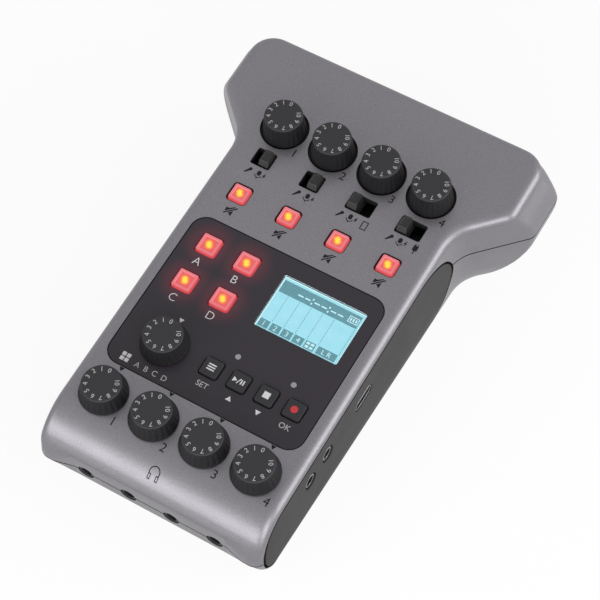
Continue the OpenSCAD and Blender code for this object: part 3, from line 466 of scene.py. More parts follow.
def edge_ring(step, skin):
    r = max(EDGE_R - skin, 0.8)
    a = math.pi / 2 * step / EDGE_STEPS
    drop = r * (1 - math.cos(a))
    p = even_outline(rear_v(-skin - drop), HEAD_HALF - HEAD_LEAN, skin + r * (1 - math.sin(a)))
    fade = len(p) - FRONT_STEPS - 1
    share = [1 if i < fade else math.cos(math.pi / 2 * (i - fade) / FRONT_STEPS) for i in range(len(p))]
    return [(q.x, q.y, max(top_w(q.y, skin) - drop * s, ROLL_LIP - PARTING)) for q, s in zip(p, share)]


def wall_ring(t, skin):
    """Ring on the wall, t = 0 under the top edge and 1 at the parting groove."""
    high = edge_ring(EDGE_STEPS, skin)
    p = even_outline(rear_v(-PARTING * t), HEAD_HALF - HEAD_LEAN * (1 - t) ** LEAN_POWER, skin, t)
    return [(q.x, q.y, mixed(e[2], GROOVE_W - PARTING, t)) for q, e in zip(p, high)]


def parting_ring(skin, drop=0.0):
    return [(q.x, q.y, -PARTING - drop) for q in even_outline(rear_v(-PARTING - drop), HEAD_HALF, skin, 1)]


def under_ring(level, skin, floor_h):
    share = 1 - math.sqrt(1 - max(0, 1 - level / UNDER_LEVEL) ** 2)
    low = 1 - level
    rear = rear_v(mixed(-PARTING, table_w(CASE_DEPTH / 2, floor_h), low))
    p = half_outline(
        rear - skin - REAR_ROUND * share, HEAD_HALF - skin - HEAD_UNDERCUT * low ** 2 - HEAD_ROUND * share,
        skin + SHOULDER_UNDERCUT * low ** 2 + HEAD_ROUND * share, side_at(1 + low, skin) - BODY_ROUND * share,
        FRONT_V + skin + FRONT_UNDERCUT * low + BODY_ROUND * share,
        max(REAR_CORNER_LOW_R - skin, 0.5), max(END_CORNER_LOW_R - skin, 0.5),
        NECK_R + skin + SHOULDER_UNDERCUT * low ** 2 / 2, max(FRONT_CORNER_R - skin, 0.5))
    return [(q.x, q.y, mixed(-PARTING, table_w(q.y, floor_h), low)) for q in p]


def lofted(halves, dark=()):
    """Closed solid from right halves of rings, capped by strips; the rows listed in dark take the second,
    dark material, which paints shade into the parting groove.
    """
    bm = bmesh.new()
    rows = []
    for h in halves:
        right = [bm.verts.new(p) for p in h]
        left = [bm.verts.new((-x, y, z)) for x, y, z in h]
        rows.append(right + left[::-1])
    n = len(rows[0])
    for k, (a, b) in enumerate(zip(rows, rows[1:])):
        for i in range(n):
            face = bm.faces.new((a[i], a[(i + 1) % n], b[(i + 1) % n], b[i]))
            face.material_index = 1 if k in dark else 0
    for row in (rows[0], rows[-1]):
        for i in range(n // 2 - 1):
            bm.faces.new((row[i], row[i + 1], row[n - 2 - i], row[n - 1 - i]))
    bmesh.ops.remove_doubles(bm, verts=bm.verts, dist=1e-4)
    bmesh.ops.recalc_face_normals(bm, faces=bm.faces)
    return bm


def upper_rings(skin):
    return [edge_ring(i, skin) for i in range(EDGE_STEPS + 1)] + [wall_ring(t, skin) for t in LEAN_STEPS]


def lower_rings(skin, floor_h):
    round_levels = [UNDER_LEVEL * (1 - math.sin(a)) for a in angles(0, 90, UNDER_STEPS)]
    return [under_ring(level, skin, floor_h) for level in FLANK_LEVELS + round_levels]


def upper_form():
    rings = upper_rings(0)
    last = len(rings)
    rings += [parting_ring(0, -GROOVE_W), parting_ring(GROOVE_D, -GROOVE_W), parting_ring(GROOVE_D)]
    # The groove's rows take the dark second material: painted shade in the parting line.
    return lofted(rings, (last, last + 1))


def upper_hollow():
    return lofted(upper_rings(WALL) + [parting_ring(WALL, 1)])


def lower_form():
    rings = [parting_ring(GROOVE_D), parting_ring(GROOVE_D, GROOVE_W), parting_ring(0, GROOVE_W)]
    # The groove's rows take the dark second material: painted shade in the parting line.
    return lofted(rings + lower_rings(0, FOOT_H), (0, 1))


def lower_hollow():
    return lofted([parting_ring(WALL, -1)] + lower_rings(WALL, FOOT_H + WALL))


def whole_form():
    return lofted(upper_rings(0) + [parting_ring(0)] + lower_rings(0, FOOT_H))


def panel_outline(grow):
    """Outline of a side panel in the v, w plane."""
    r = ROLL_R - PANEL_DROP + grow
    out = [(PANEL_END_V + (PANEL_END_L + grow) * math.cos(a),
            PANEL_MID - (PANEL_MID + PANEL_DROP - grow) * math.sin(a)) for a in angles(90, -50, PANEL_STEPS)]
    out += [(v, table_w(v, PANEL_FLOOR - grow)) for v in PANEL_FOOT]
    return out + [(ROLL_V + r * math.cos(a), -ROLL_R + r * math.sin(a)) for a in angles(200, 90, PANEL_STEPS)]


def along_x(bm, x=0.0):
    """Turns a prism made upwards so that it runs along +X, its outline in the v, w plane."""
    bm.transform(Matrix(((0, 0, 1, x), (1, 0, 0, 0), (0, 1, 0, 0), (0, 0, 0, 1))))
    return bm


def along_y(bm, y=0.0):
    bm.transform(Matrix(((1, 0, 0, 0), (0, 0, 1, y), (0, -1, 0, 0), (0, 0, 0, 1))))
    return bm


# Materials
def shader(name, colour, roughness, metallic=0.0):
    mat = bpy.data.materials.new(name)
    mat.use_nodes = True
    bsdf = mat.node_tree.nodes["Principled BSDF"]
    bsdf.inputs["Base Color"].default_value = (*colour, 1)
    bsdf.inputs["Roughness"].default_value = roughness
    bsdf.inputs["Metallic"].default_value = metallic
    return mat, mat.node_tree, bsdf


def noise_of(tree, size_mm, detail=2.0):
    """Noise whose lumps are about size_mm across."""
    place = tree.nodes.new("ShaderNodeTexCoord")
    noise = tree.nodes.new("ShaderNodeTexNoise")
    noise.inputs["Scale"].default_value = 1 / (size_mm * MM)
    noise.inputs["Detail"].default_value = detail
    tree.links.new(place.outputs["Object"], noise.inputs["Vector"])
    return noise


def reckoned(tree, operation, *values):
    """Math node over numbers and other nodes' outputs."""
    node = tree.nodes.new("ShaderNodeMath")
    node.operation = operation
    for socket, value in zip(node.inputs, values):
        if isinstance(value, bpy.types.NodeSocket):
            tree.links.new(value, socket)
        else:
            socket.default_value = value
    return node.outputs["Value"]


def ranged(tree, value, source=(0, 1), target=(0, 1), way="LINEAR"):
    """Value carried from one range to another."""
    node = tree.nodes.new("ShaderNodeMapRange")
    node.interpolation_type = way
    for name, end in zip(("From Min", "From Max", "To Min", "To Max"), (*source, *target)):
        node.inputs[name].default_value = end
    tree.links.new(value, node.inputs["Value"])
    return node.outputs["Result"]


def ramped(tree, value, *stops):
    """Colour ramp through stops, each a place from 0 to 1 and a colour."""
    ramp = tree.nodes.new("ShaderNodeValToRGB")
    ends = ramp.color_ramp.elements
    for end, (place, colour) in zip(ends, (stops[0], stops[-1])):
        end.position = place
        end.color = (*colour, 1)
    for place, colour in stops[1:-1]:
        ends.new(place).color = (*colour, 1)
    tree.links.new(value, ramp.inputs["Fac"])
    return ramp.outputs["Color"]


def finish(name, colour, roughness, grain_mm, spread=0.08, bump=0.1, metallic=0.0, specular=0.5):
    """Moulded or painted surface: fine grain in colour and bump, broad drift in roughness."""
    mat, tree, bsdf = shader(name, colour, roughness, metallic)
    bsdf.inputs["Specular IOR Level"].default_value = specular
    grain = noise_of(tree, grain_mm)
    low = [c * (1 - spread) for c in colour]
    high = [c * (1 + spread) for c in colour]
    tree.links.new(ramped(tree, grain.outputs["Fac"], (0.3, low), (0.7, high)), bsdf.inputs["Base Color"])
    patch = noise_of(tree, 9, 4)
    drift = ranged(tree, patch.outputs["Fac"], target=(roughness - 0.05, roughness + 0.05))
    tree.links.new(drift, bsdf.inputs["Roughness"])
    if bump:
        node = tree.nodes.new("ShaderNodeBump")
        node.inputs["Strength"].default_value = bump
        node.inputs["Distance"].default_value = grain_mm * MM * 0.25
        tree.links.new(grain.outputs["Fac"], node.inputs["Height"])
        tree.links.new(node.outputs["Normal"], bsdf.inputs["Normal"])
    return mat


def glowing(name, colour, strength, grain_mm, spread=0.06):
    """Lit surface that gives its colour by itself, on a dark ground."""
    mat = finish(name, [0.15 * c for c in colour], 0.4, grain_mm, spread, bump=0.0)
    bsdf = mat.node_tree.nodes["Principled BSDF"]
    bsdf.inputs["Emission Color"].default_value = (*colour, 1)
    bsdf.inputs["Emission Strength"].default_value = strength
    return mat


GREY = finish("metallic_grey", (0.2, 0.192, 0.208), 0.4, 0.32, 0.14, 0.25, metallic=0.75)
# Black of the inside of the shells; also laid on the faces of the parting groove as painted shade.
INNER_AND_GROOVE_SHADE = finish("inner_black_and_groove_shade", (0.01, 0.01, 0.011), 0.6, 0.5, specular=0.2)
SIDE = finish("side_plastic", (0.02, 0.0196, 0.0204), 0.5, 0.3, 0.15, 0.25, specular=0.16)
FILM = finish("panel_film", (0.022, 0.0175, 0.024), 0.36, 0.5, 0.06, 0.04, specular=0.32)
KNOB = finish("knob_plastic", (0.011, 0.0108, 0.012), 0.55, 0.22, 0.12, 0.16, specular=0.16)
# Lighter copy of the knob plastic for the knob tops: painted light on the top, while the sides keep the
# darker one.
KNOB_LIT_TOP = finish("knob_top_painted_light", (0.028, 0.027, 0.03), 0.55, 0.22, 0.12, 0.16, specular=0.25)
KEYCAP = finish("key_rubber", (0.02, 0.019, 0.022), 0.5, 0.25, 0.1, 0.12, specular=0.3)
BLACK = finish("black_plastic", (0.015, 0.015, 0.016), 0.45, 0.3, 0.1, 0.1, specular=0.35)
RUBBER = finish("foot_rubber", (0.012, 0.012, 0.012), 0.8, 0.4, 0.15, 0.3)
STEEL = finish("plain_steel", (0.55, 0.55, 0.56), 0.32, 0.3, 0.06, 0.06, metallic=1.0)
DARK_STEEL = finish("dark_steel", (0.2, 0.2, 0.21), 0.35, 0.3, 0.08, 0.06, metallic=1.0)
BRASS = finish("plated_brass", (0.72, 0.54, 0.24), 0.28, 0.3, 0.06, 0.04, metallic=1.0)
BOARD = finish("board_green", (0.012, 0.09, 0.04), 0.4, 0.8, 0.2, 0.08)
SLEEVE = finish("cell_sleeve", (0.42, 0.3, 0.1), 0.3, 3.0, 0.1, 0.02)
INK_WHITE = finish("print_white", (0.62, 0.61, 0.62), 0.5, 0.2, 0.06, 0.0)
INK_BLACK = finish("print_black", (0.014, 0.013, 0.015), 0.6, 0.2, 0.1, 0.0, specular=0.1)
INK_GREY = finish("print_grey", (0.42, 0.42, 0.42), 0.5, 0.2, 0.08, 0.0)
INK_RED = finish("print_red", (0.5, 0.025, 0.03), 0.4, 0.3, 0.1, 0.0)
GUIDE = finish("light_guide", (0.27, 0.27, 0.28), 0.3, 0.4, 0.08, 0.02)


def nearest_of(tree, centres):
    """Distance to the nearest of some places."""
    place = tree.nodes.new("ShaderNodeTexCoord")
    nearest = None
    for c in centres:
        far = tree.nodes.new("ShaderNodeVectorMath")
        far.operation = "DISTANCE"
        far.inputs[1].default_value = c
        tree.links.new(place.outputs["Object"], far.inputs[0])
        gap = far.outputs["Value"]
        nearest = gap if nearest is None else reckoned(tree, "MINIMUM", nearest, gap)
    return nearest


def add_glow(mat, centres, colour, near, far):
    """Painted glow: emission on a surface around lit places, standing in for the light they spill, full at
    near and gone at far.
    """
    tree = mat.node_tree
    bsdf = tree.nodes["Principled BSDF"]
    fade = ranged(tree, nearest_of(tree, centres), (near * MM, far * MM), (1, 0), "SMOOTHSTEP")
    tree.links.new(fade, bsdf.inputs["Emission Strength"])
    bsdf.inputs["Emission Color"].default_value = (*colour, 1)


def lit_red(name, centres):
    """Translucent red cap with a lamp under it: a yellow core that fades to red."""
    mat, tree, bsdf = shader(name, (0.25, 0.03, 0.03), 0.3)
    bsdf.inputs["Subsurface Weight"].default_value = 0.25
    bsdf.inputs["Subsurface Scale"].default_value = 0.6 * MM
    speckle = noise_of(tree, 0.5)
    wobble = reckoned(tree, "MULTIPLY_ADD", speckle.outputs["Fac"], 0.5 * MM, nearest_of(tree, centres))
    glow = ramped(tree, ranged(tree, wobble, (0, 6 * MM)),
                  (0.13, (1.0, 0.72, 0.03)), (0.2, (0.8, 0.28, 0.03)), (0.28, (0.6, 0.085, 0.07)),
                  (0.5, (0.56, 0.075, 0.09)), (0.95, (0.42, 0.04, 0.05)))
    tree.links.new(glow, bsdf.inputs["Emission Color"])
    bsdf.inputs["Emission Strength"].default_value = 1
    return mat


def clear(name):
    """Clear window: mostly see-through, with a faint gloss."""
    mat, tree, bsdf = shader(name, (0.9, 0.97, 0.98), 0.04)
    bsdf.inputs["Transmission Weight"].default_value = 1
    bsdf.inputs["IOR"].default_value = 1.2
    smear = noise_of(tree, 4, 3)
    tint = ramped(tree, smear.outputs["Fac"], (0.3, (0.88, 0.96, 0.97)), (0.7, (0.95, 0.99, 1.0)))
    tree.links.new(tint, bsdf.inputs["Base Color"])
    return mat


GLASS = clear("clear_window")
LIT_RIM = glowing("lit_rim", (0.66, 0.15, 0.175), 1, 0.5)
# Painted red glow on the panel film around the lit pads, standing in for the light they spill.
add_glow(FILM, [at(*p).translation for p in PADS.values()], (0.06, 0.005, 0.01), near=3, far=9.5)
LCD = glowing("display_light", (0.36, 0.72, 0.83), 0.9, 2.5, 0.05)
LCD_EDGE = glowing("display_edge", (0.66, 0.9, 0.94), 0.95, 2.5, 0.04)
LCD_INK = glowing("display_ink", (0.11, 0.29, 0.34), 0.85, 1.5, 0.08)
LCD_MARK = glowing("display_mark", (0.55, 0.82, 0.88), 0.9, 1.5, 0.05)


# Case
def top_hole(outline, u, v, depth=WALL + OVER, chamfer=CHAMFER):
    """Cutter for a hole in the top with a rounded rim."""
    mid = ROUNDING * chamfer
    levels = [(0, -depth), (0, -chamfer), (mid, -mid), (chamfer, 0), (chamfer, OVER)]
    return prism(outline, levels), offset(u, v)


def grown_rect(x, y, r):
    return lambda g: round_rect(x + 2 * g, y + 2 * g, max(r + g, 0.05))


def grown_circle(r, steps=64):
    return lambda g: circle(r + g, steps)


def button_hole(side):
    return grown_rect(side + 2 * BUTTON_AIR, side + 2 * BUTTON_AIR, BUTTON_R + BUTTON_AIR)


def slot_hole(i):
    width = CAP_W + SWITCH_STEP * (PLACES[i] - 1) + 2 * CAP_AIR
    return grown_rect(width, CAP_L + 2 * CAP_AIR, SLOT_R)


def side_recess(side):
    """Cutter for a side panel's seat, with a rounded rim on the outside."""
    mid = ROUNDING * CHAMFER
    wide = PANEL_GAP + CHAMFER
    levels = [(PANEL_GAP, BODY_HALF - PANEL_T - SEAT), (PANEL_GAP, BODY_HALF - CHAMFER),
              (PANEL_GAP + mid, BODY_HALF - mid), (wide, BODY_HALF), (wide, FAR)]
    return along_x(prism(panel_outline, levels)), SIDES[side]


def mouth(start, face, chamfer, end):
    """Levels of a cutter for a hole with a chamfer at the face."""
    return [(0, start), (0, face - chamfer), (chamfer, face), (chamfer, end)]


def side_hole(outline, v, w, side=1, chamfer=PORT_CHAMFER):
    levels = mouth(BODY_HALF - WALL - PAST, BODY_HALF, chamfer, FAR)
    bm = along_x(prism(outline, levels))
    return bm, SIDES[side] @ offset(0, v, w)


def port_cutters():
    parts = [side_hole(grown_circle(JACK_HOLE_R), v, JACK_SIDE_W, chamfer=JACK_DISH) for v in SIDE_JACKS]
    parts.append(side_hole(grown_rect(USB_W, USB_H, USB_R), *USB))
    parts.append(side_hole(grown_rect(*CARD_MOUTH), *CARD, side=-1))
    parts.append(side_hole(grown_rect(*POWER_SLOT), *POWER, side=-1))
    return parts


def scoop_cutter(deeper=0.0, w0=-FAR, w1=SCOOP_TOP_W):
    """Flat in the front with sloped ends, where the phones sockets stand."""
    far_u = SCOOP_END[0]
    far_v = FRONT_V + SCOOP_END[1] + deeper
    flat_v = FRONT_V + SCOOP_DEPTH + deeper
    outline = [(-far_u, FRONT_V - OVER), (far_u, FRONT_V - OVER), (far_u, far_v), (SCOOP_IN, flat_v),
               (-SCOOP_IN, flat_v), (-far_u, far_v)]
    return column(outline, w0, w1), HERE


def jack_hole(u):
    levels = [(0, 0), (0, OVER - 0.25), (CHAMFER, OVER), (CHAMFER, 2 * OVER)]
    bm = prism(grown_circle(JACK_HOLE_R), levels)
    bm.transform(Matrix.Rotation(math.pi / 2, 4, "X"))
    return bm, offset(u, FRONT_V + SCOOP_DEPTH + OVER, JACK_FRONT_W)


def xlr_hole(x):
    """Cutter in the upright frame, given in the top frame."""
    back = CASE_DEPTH / 2
    levels = mouth(back - WALL - PAST, back, XLR_CHAMFER, back + OVER)
    bm = along_y(prism(grown_circle(XLR_HOLE_R), levels))
    return bm, TOP.inverted() @ UPRIGHT @ offset(x, 0, XLR_Z)


def cutter(parts, matrix=TOP, material=INNER_AND_GROOVE_SHADE):
    return new_object("cutter", joined(parts), matrix, [material])


def panel_holes(cap_rim=CHAMFER, light_rim=CHAMFER):
    """Cutters for the knob, caps and lights of the control panel."""
    holes = [top_hole(grown_circle(SHAFT_HOLE_R), *PAD_KNOB)]
    for places, side in ((PADS, PAD_SIDE), (KEYS, KEY_SIDE)):
        holes += [top_hole(button_hole(side), *p, chamfer=cap_rim) for p in places.values()]
    return holes + [top_hole(grown_circle(LIGHT_R + LIGHT_AIR, 32), *p, chamfer=light_rim) for p in LIGHTS]


def build_top_shell():
    shell = new_object("top_shell_skin", upper_form(), TOP, [GREY, INNER_AND_GROOVE_SHADE])
    cut(shell, cutter([(upper_hollow(), HERE)]))
    wells = [top_hole(grown_circle(WELL_R, 96), u, GAIN_V, WELL_DEPTH) for u in CHANNELS]
    wells += [top_hole(button_hole(MUTE_SIDE), u, MUTE_V) for u in CHANNELS]
    wells += [top_hole(slot_hole(i), u, SWITCH_V) for i, u in enumerate(CHANNELS)]
    wells += [top_hole(grown_circle(SHAFT_HOLE_R), u, PHONES_V) for u in CHANNELS]
    seat = grown_rect(CONTROL_W, CONTROL_L, CONTROL_R)
    wells.append(top_hole(lambda g: seat(g + CONTROL_AIR), 0, CONTROL_V, CONTROL_T, 0.2))
    cut(shell, cutter(wells))
    deep = [top_hole(grown_circle(SHAFT_HOLE_R), u, GAIN_V) for u in CHANNELS]
    deep += panel_holes()
    deep.append(top_hole(grown_rect(WINDOW_W - 2 * LEDGE, WINDOW_L - 2 * LEDGE, 0.5), *WINDOW))
    cut(shell, cutter(deep))
    cut_ends(shell)
    settle(soften(shell), "case", "grey_case", "top_shell")


def cut_ends(shell):
    """Seats of the side panels, ports, front flat and rear sockets, cut through either shell."""
    cut(shell, cutter([side_recess(1), side_recess(-1)]))
    cut(shell, cutter(port_cutters()))
    cut(shell, cutter([scoop_cutter()], material=GREY))
    # The groove across the front flat takes the dark material: painted shade in the parting line.
    cut(shell, cutter([scoop_cutter(GROOVE_D, -PARTING - GROOVE_W, GROOVE_W - PARTING)]))
    cut(shell, cutter([jack_hole(u) for u in PHONES_JACKS] + [xlr_hole(x) for x in XLR_X]))


# Underside, in the upright frame
BAY_Y = 8
COVER_X = 29.45
COVER_FRONT = -8.9
COVER_REAR = 24.9
COVER_TRAVEL = 10
COVER_T = 1.5
COVER_GAP = 0.15
COVER_TONGUE = 1.4
BAY_HALF = (27.45, 14.9)
BAY_TOP = 17.75
BAY_WALL = 1.4
SCREWS = ((37.9, 51.9), (31.6, -66.6))
FEET = ((38.2, 63), (24, -62))
SCREW_HOLE_R = 2.4
SCREW_SEAT_DROP = 3.4
FOOT_R = 4.05
FOOT_SEAT = 0.7


def screw_seat(y):
    """Height where a screw's head sits, under the sloped parting plane."""
    high = TOP_HEIGHT + (y - PARTING * math.sin(TILT)) * math.tan(TILT) - PARTING * math.cos(TILT)
    return high - SCREW_SEAT_DROP


def upright_hole(x, y, r, z1):
    levels = [(CHAMFER, -OVER), (CHAMFER, FOOT_H), (0, FOOT_H + CHAMFER), (0, z1)]
    return prism(grown_circle(r, 40), levels), offset(x, y)


def upright_box(x, y0, y1, z0, z1):
    return column(rect(x, y1 - y0), z0, z1), offset(0, (y0 + y1) / 2)


def build_bottom_shell():
    shell = new_object("bottom_shell_skin", lower_form(), TOP, [GREY, INNER_AND_GROOVE_SHADE])
    cut(shell, cutter([(lower_hollow(), HERE)]))
    tub_x, tub_y = (half + BAY_WALL for half in BAY_HALF)
    tub = upright_box(2 * tub_x, BAY_Y - tub_y, BAY_Y + tub_y, FOOT_H + 1, BAY_TOP)
    cut(shell, cutter([tub], UPRIGHT), "UNION")
    bay_cut = upright_box(2 * BAY_HALF[0], BAY_Y - BAY_HALF[1], BAY_Y + BAY_HALF[1], -OVER, FAR)
    cut(shell, cutter([bay_cut], UPRIGHT))
    rear = COVER_REAR + COVER_TRAVEL + COVER_GAP
    top = FOOT_H + COVER_T + COVER_GAP
    for half, z0 in ((COVER_X, -OVER), (COVER_X + COVER_TONGUE, FOOT_H + COVER_T / 2 - COVER_GAP)):
        seat = upright_box(2 * (half + COVER_GAP), COVER_FRONT - COVER_GAP, rear, z0, top)
        cut(shell, cutter([seat], UPRIGHT, GREY))
    holes = []
    for s in (-1, 1):
        holes += [upright_hole(s * x, y, SCREW_HOLE_R, screw_seat(y)) for x, y in SCREWS]
        holes += [upright_hole(s * x, y, FOOT_R, FOOT_H + FOOT_SEAT) for x, y in FEET]
    cut(shell, cutter(holes, UPRIGHT))
    cut_ends(shell)
    settle(soften(shell), "case", "grey_case", "bottom_shell")


def build_side_panel(side, name):
    panel = new_object(name + "_skin", whole_form(), TOP, [SIDE])
    keep = along_x(prism(panel_outline, [(-PANEL_INSET, BODY_HALF - PANEL_T), (-PANEL_INSET, FAR)]))
    cut(panel, cutter([(keep, SIDES[side])], material=SIDE), "INTERSECT")
    soften(panel, bevel=0.25, weighted=False)
    panel.data.materials.append(INNER_AND_GROOVE_SHADE)
    cut(panel, cutter(port_cutters()))
    settle(soften(panel), "case", "side_panel", name)


build_top_shell()
build_bottom_shell()
build_side_panel(1, "right_side_panel")
build_side_panel(-1, "left_side_panel")


def build_control_panel():
    rim = [(0, -CONTROL_T + 0.02), (0, -0.25), (-0.08, -0.07), (-0.25, 0)]
    film = prism(grown_rect(CONTROL_W, CONTROL_L, CONTROL_R), rim)
    panel = new_object("control_film", film, at(0, CONTROL_V), [FILM])
    holes = panel_holes(cap_rim=0.2, light_rim=0.12)
    holes.append(top_hole(grown_rect(WINDOW_W + 2 * SEAT, WINDOW_L + 2 * SEAT, 0.6), *WINDOW, chamfer=0.15))
    cut(panel, cutter(holes, material=FILM))
    settle(soften(panel), "case", "control_panel", "control_panel")


build_control_panel()


# Knobs
def knob_body(foot_r, foot_w, top):
    """Tapered knob with flutes that fade out under a rounded top edge, and a bore for its shaft."""
    around = FLUTES * 10
    lip, chamfer = 0.35, 0.15
    plain, fade_high, fade_low = 0.3, 0.8, 0.5
    shoulder = top - KNOB_EDGE
    low = foot_w + lip
    high = shoulder - plain - fade_high

    def radius(w):
        return mixed(foot_r, KNOB_TOP_R, (w - foot_w) / (top - foot_w))

    def ring(r, w):
        return [(r * x, r * y, w) for x, y in circle(1, around)]

    def fluted(w, inset):
        fade = min(1, max(0, (shoulder - plain - w) / fade_high)) * min(1, max(0, (w - low) / fade_low))
        points = []
        for j in range(around):
            a = math.tau * j / around
            r = radius(w) - inset - FLUTE_DEPTH * max(0, math.cos(FLUTES * a)) * fade
            points.append((r * math.cos(a), r * math.sin(a), w))
        return points

    levels = [foot_w + chamfer, low, low + fade_low / 2]
    levels += [mixed(low + fade_low, high, i / 6) for i in range(7)]
    levels += [shoulder - plain - fade_high / 2, shoulder - plain, shoulder]
    rows = [ring(SHAFT_R + 0.02, top - KNOB_COVER), ring(SHAFT_R + 0.02, foot_w), fluted(foot_w, chamfer)]
    rows += [fluted(w, 0) for w in levels]
    for a in angles(18, 90, 4):
        r = radius(shoulder) - KNOB_EDGE * (1 - math.cos(a))
        rows.append(ring(r, shoulder + KNOB_EDGE * math.sin(a)))
    rows.append(ring(KNOB_TOP_R - KNOB_DISH, top - 0.04))
    bm = loops_to_mesh(rows)
    # Faces on the top take the second material, painted lighter to stand for light falling on the top.
    for face in bm.faces:
        if face.calc_center_median().z > top - KNOB_EDGE / 2:
            face.material_index = 1
    return bm


def numerals(top):
    """Numbers 0 to 10 on a knob, counter-clockwise from the rear, tops outwards."""
    parts = []
    for n, a in enumerate(angles(0, 300, 10)):
        place = Matrix.Rotation(a, 4, "Z") @ offset(0, DIGIT_R, top + 0.005)
        parts.append((words(str(n), DIGIT_H), place))
    return joined(parts)


def build_knob(node, body, u, v, foot_r, foot_w, top):
    knob = new_object(node + "_cap", knob_body(foot_r, foot_w, top), at(u, v), [KNOB, KNOB_LIT_TOP])
    settle(soften(knob, 50), body, "knob", node)
    marks = new_object(node + "_numbers", numerals(top - 0.02), at(u, v), [INK_GREY])
    settle(marks, body, "knob")


for i, u in enumerate(CHANNELS):
    build_knob(f"gain_knob_{i + 1}", f"gain_{i + 1}", u, GAIN_V, GAIN_R, KNOB_AIR - WELL_DEPTH, GAIN_H)
    build_knob(f"phones_knob_{i + 1}", f"phones_{i + 1}", u, PHONES_V, PHONES_R, KNOB_AIR, PHONES_H)
build_knob("pad_knob", "pad_volume", *PAD_KNOB, PHONES_R, KNOB_AIR, PHONES_H)


# Buttons and keys
def button_body(side, top, stem_v, taper, rim, dip):
    """Rounded square cap with a raised rim, a lip under the case and a stem."""
    outline = grown_rect(side, side, BUTTON_R)
    low = -WALL - LIP_GAP - LIP_T
    side_in, rim_in = -taper, -taper - rim
    cap = prism(outline, [(LIP, low), (LIP, low + LIP_T), (0, low + LIP_T), (0, -0.9), (side_in, -0.2),
                          (side_in, top - 0.45), (side_in - 0.12, top - 0.13), (side_in - 0.35, top),
                          (rim_in, top), (rim_in - 0.25, top - dip), (rim_in - 0.5, top - dip)])
    for face in cap.faces:
        if face.calc_center_median().z > top - 0.6 * dip:
            face.material_index = 1
    stem = column(circle(STEM_R, 32), STEM_LOW, low)
    return joined([(cap, HERE), (stem, offset(0, stem_v))])


def build_lit_button(node, u, v, side):
    lamp = [at(u + s * 0.2, v - s * 0.34, BUTTON_H - 0.25).translation for s in (1, -1)]
    cap = button_body(side, BUTTON_H, 0, taper=0.2, rim=0.75, dip=0.25)
    button = new_object(node + "_cap", cap, at(u, v), [lit_red(node + "_red", lamp), LIT_RIM])
    settle(soften(button, 30), node + "_body", "lit_button", node)


for i, u in enumerate(CHANNELS):
    build_lit_button(f"mute_button_{i + 1}", u, MUTE_V, MUTE_SIDE)
for c, p in PADS.items():
    build_lit_button(f"pad_button_{c}", *p, PAD_SIDE)


KEY_ICONS = {
    "menu": [rect(2.6, 0.42, 0, y) for y in (0.85, 0, -0.85)],
    "play": [[(-1.95, 0.85), (-1.95, -0.85), (-0.55, 0)], bar((-0.45, -0.95), (0.4, 0.95), 0.3),
             rect(0.42, 1.6, 0.85), rect(0.42, 1.6, 1.65)],
    "stop": [rect(2.1, 2.1)],
    "record": [circle(1.15, 40)],
}
for name, p in KEYS.items():
    cap = button_body(KEY_SIDE, KEY_H, KEY_STEM_V, taper=0, rim=0.6, dip=0.05)
    key = new_object(name + "_key_cap", cap, at(*p), [KEYCAP, KEYCAP])
    settle(soften(key, 30), name + "_key_body", "key", name + "_key")
    ink = INK_RED if name == "record" else INK_WHITE
    mark = new_object(name + "_key_mark", plates(KEY_ICONS[name], 0.06), at(*p, KEY_H - 0.03), [ink])
    settle(mark, name + "_key_body", "key")


# Switches
def switch_cap(top):
    """Cap with a raised block for the finger, its front face sloped and its top dished."""
    def ring(side, front, rear, w):
        points = round_rect(CAP_W - 2 * side, CAP_L - front - rear, 0.35)
        return [(x, y, w) for x, y in moved(points, 0, (front - rear) / 2)]

    return loops_to_mesh([
        ring(0, 0, 0, -WALL - 0.9), ring(0, 0, 0, 0.5), ring(0.06, 0.12, 0.06, 0.68),
        ring(0.2, 0.75, 0.15, top - 0.25), ring(0.28, 0.92, 0.23, top - 0.07), ring(0.42, 1.08, 0.37, top),
        ring(0.65, 1.3, 0.6, top), ring(0.8, 1.45, 0.75, top - 0.12)])


for i, u in enumerate(CHANNELS):
    shift = SWITCH_STEP * (PLACES[i] - 1) / 2 * (1 if i < 2 else -1)
    flange = column(rect(CAP_W + 0.8, CAP_L + 1.6), -WALL - 1.15, -WALL - 0.25)
    stem = column(rect(SWITCH_STEM, SWITCH_STEM), SWITCH_LOW, -WALL - 1)
    parts = [(bm, HERE) for bm in (switch_cap(CAP_H), flange, stem)]
    cap = new_object(f"input_switch_{i + 1}_cap", joined(parts), at(u + shift, SWITCH_V), [BLACK])
    settle(soften(cap, 30), f"input_switch_{i + 1}_body", "switch_cap", f"input_switch_{i + 1}")


# Grip of the battery cover
RIB = (16, 0.9, 0.4)
RIBS_Y = [11.5 + 1.8 * i for i in range(6)]


def build_cover_grip():
    """Ribs for the thumb and an arrow that shows which way the battery cover slides."""
    ribs = []
    for y in RIBS_Y:
        rib = prism(grown_rect(*RIB), [(0, FOOT_H + 0.1), (0, FOOT_H - 0.2), (-0.15, FOOT_H - 0.35)])
        ribs.append((rib, offset(0, y)))
    grip = new_object("cover_grip", joined(ribs), UPRIGHT, [GREY])
    settle(soften(grip), "battery_cover_body", "grey_case")
    arrow = plates([[(-2.2, 4), (2.2, 4), (0, 8)]], PRINT_T)
    mark = new_object("cover_arrow", arrow, UPRIGHT @ offset(0, 0, FOOT_H), [INK_BLACK])
    settle(mark, "battery_cover_body", "grey_case")


build_cover_grip()


# Rims of the ports
RIM_ROUND = 0.06


def oval_rim(x, y, thick, depth):
    """Rounded tube, its face at 0 and its depth below."""
    insets = (0, RIM_ROUND, thick - RIM_ROUND, thick)
    rings = [round_rect(x - 2 * i, y - 2 * i, y / 2 - i - 0.01, 10) for i in insets]
    levels = [(0, -depth), (0, -RIM_ROUND), (1, 0), (2, 0), (3, -RIM_ROUND), (3, -depth)]
    return loops_to_mesh([[(px, py, w) for px, py in rings[k]] for k, w in levels], capped=False)


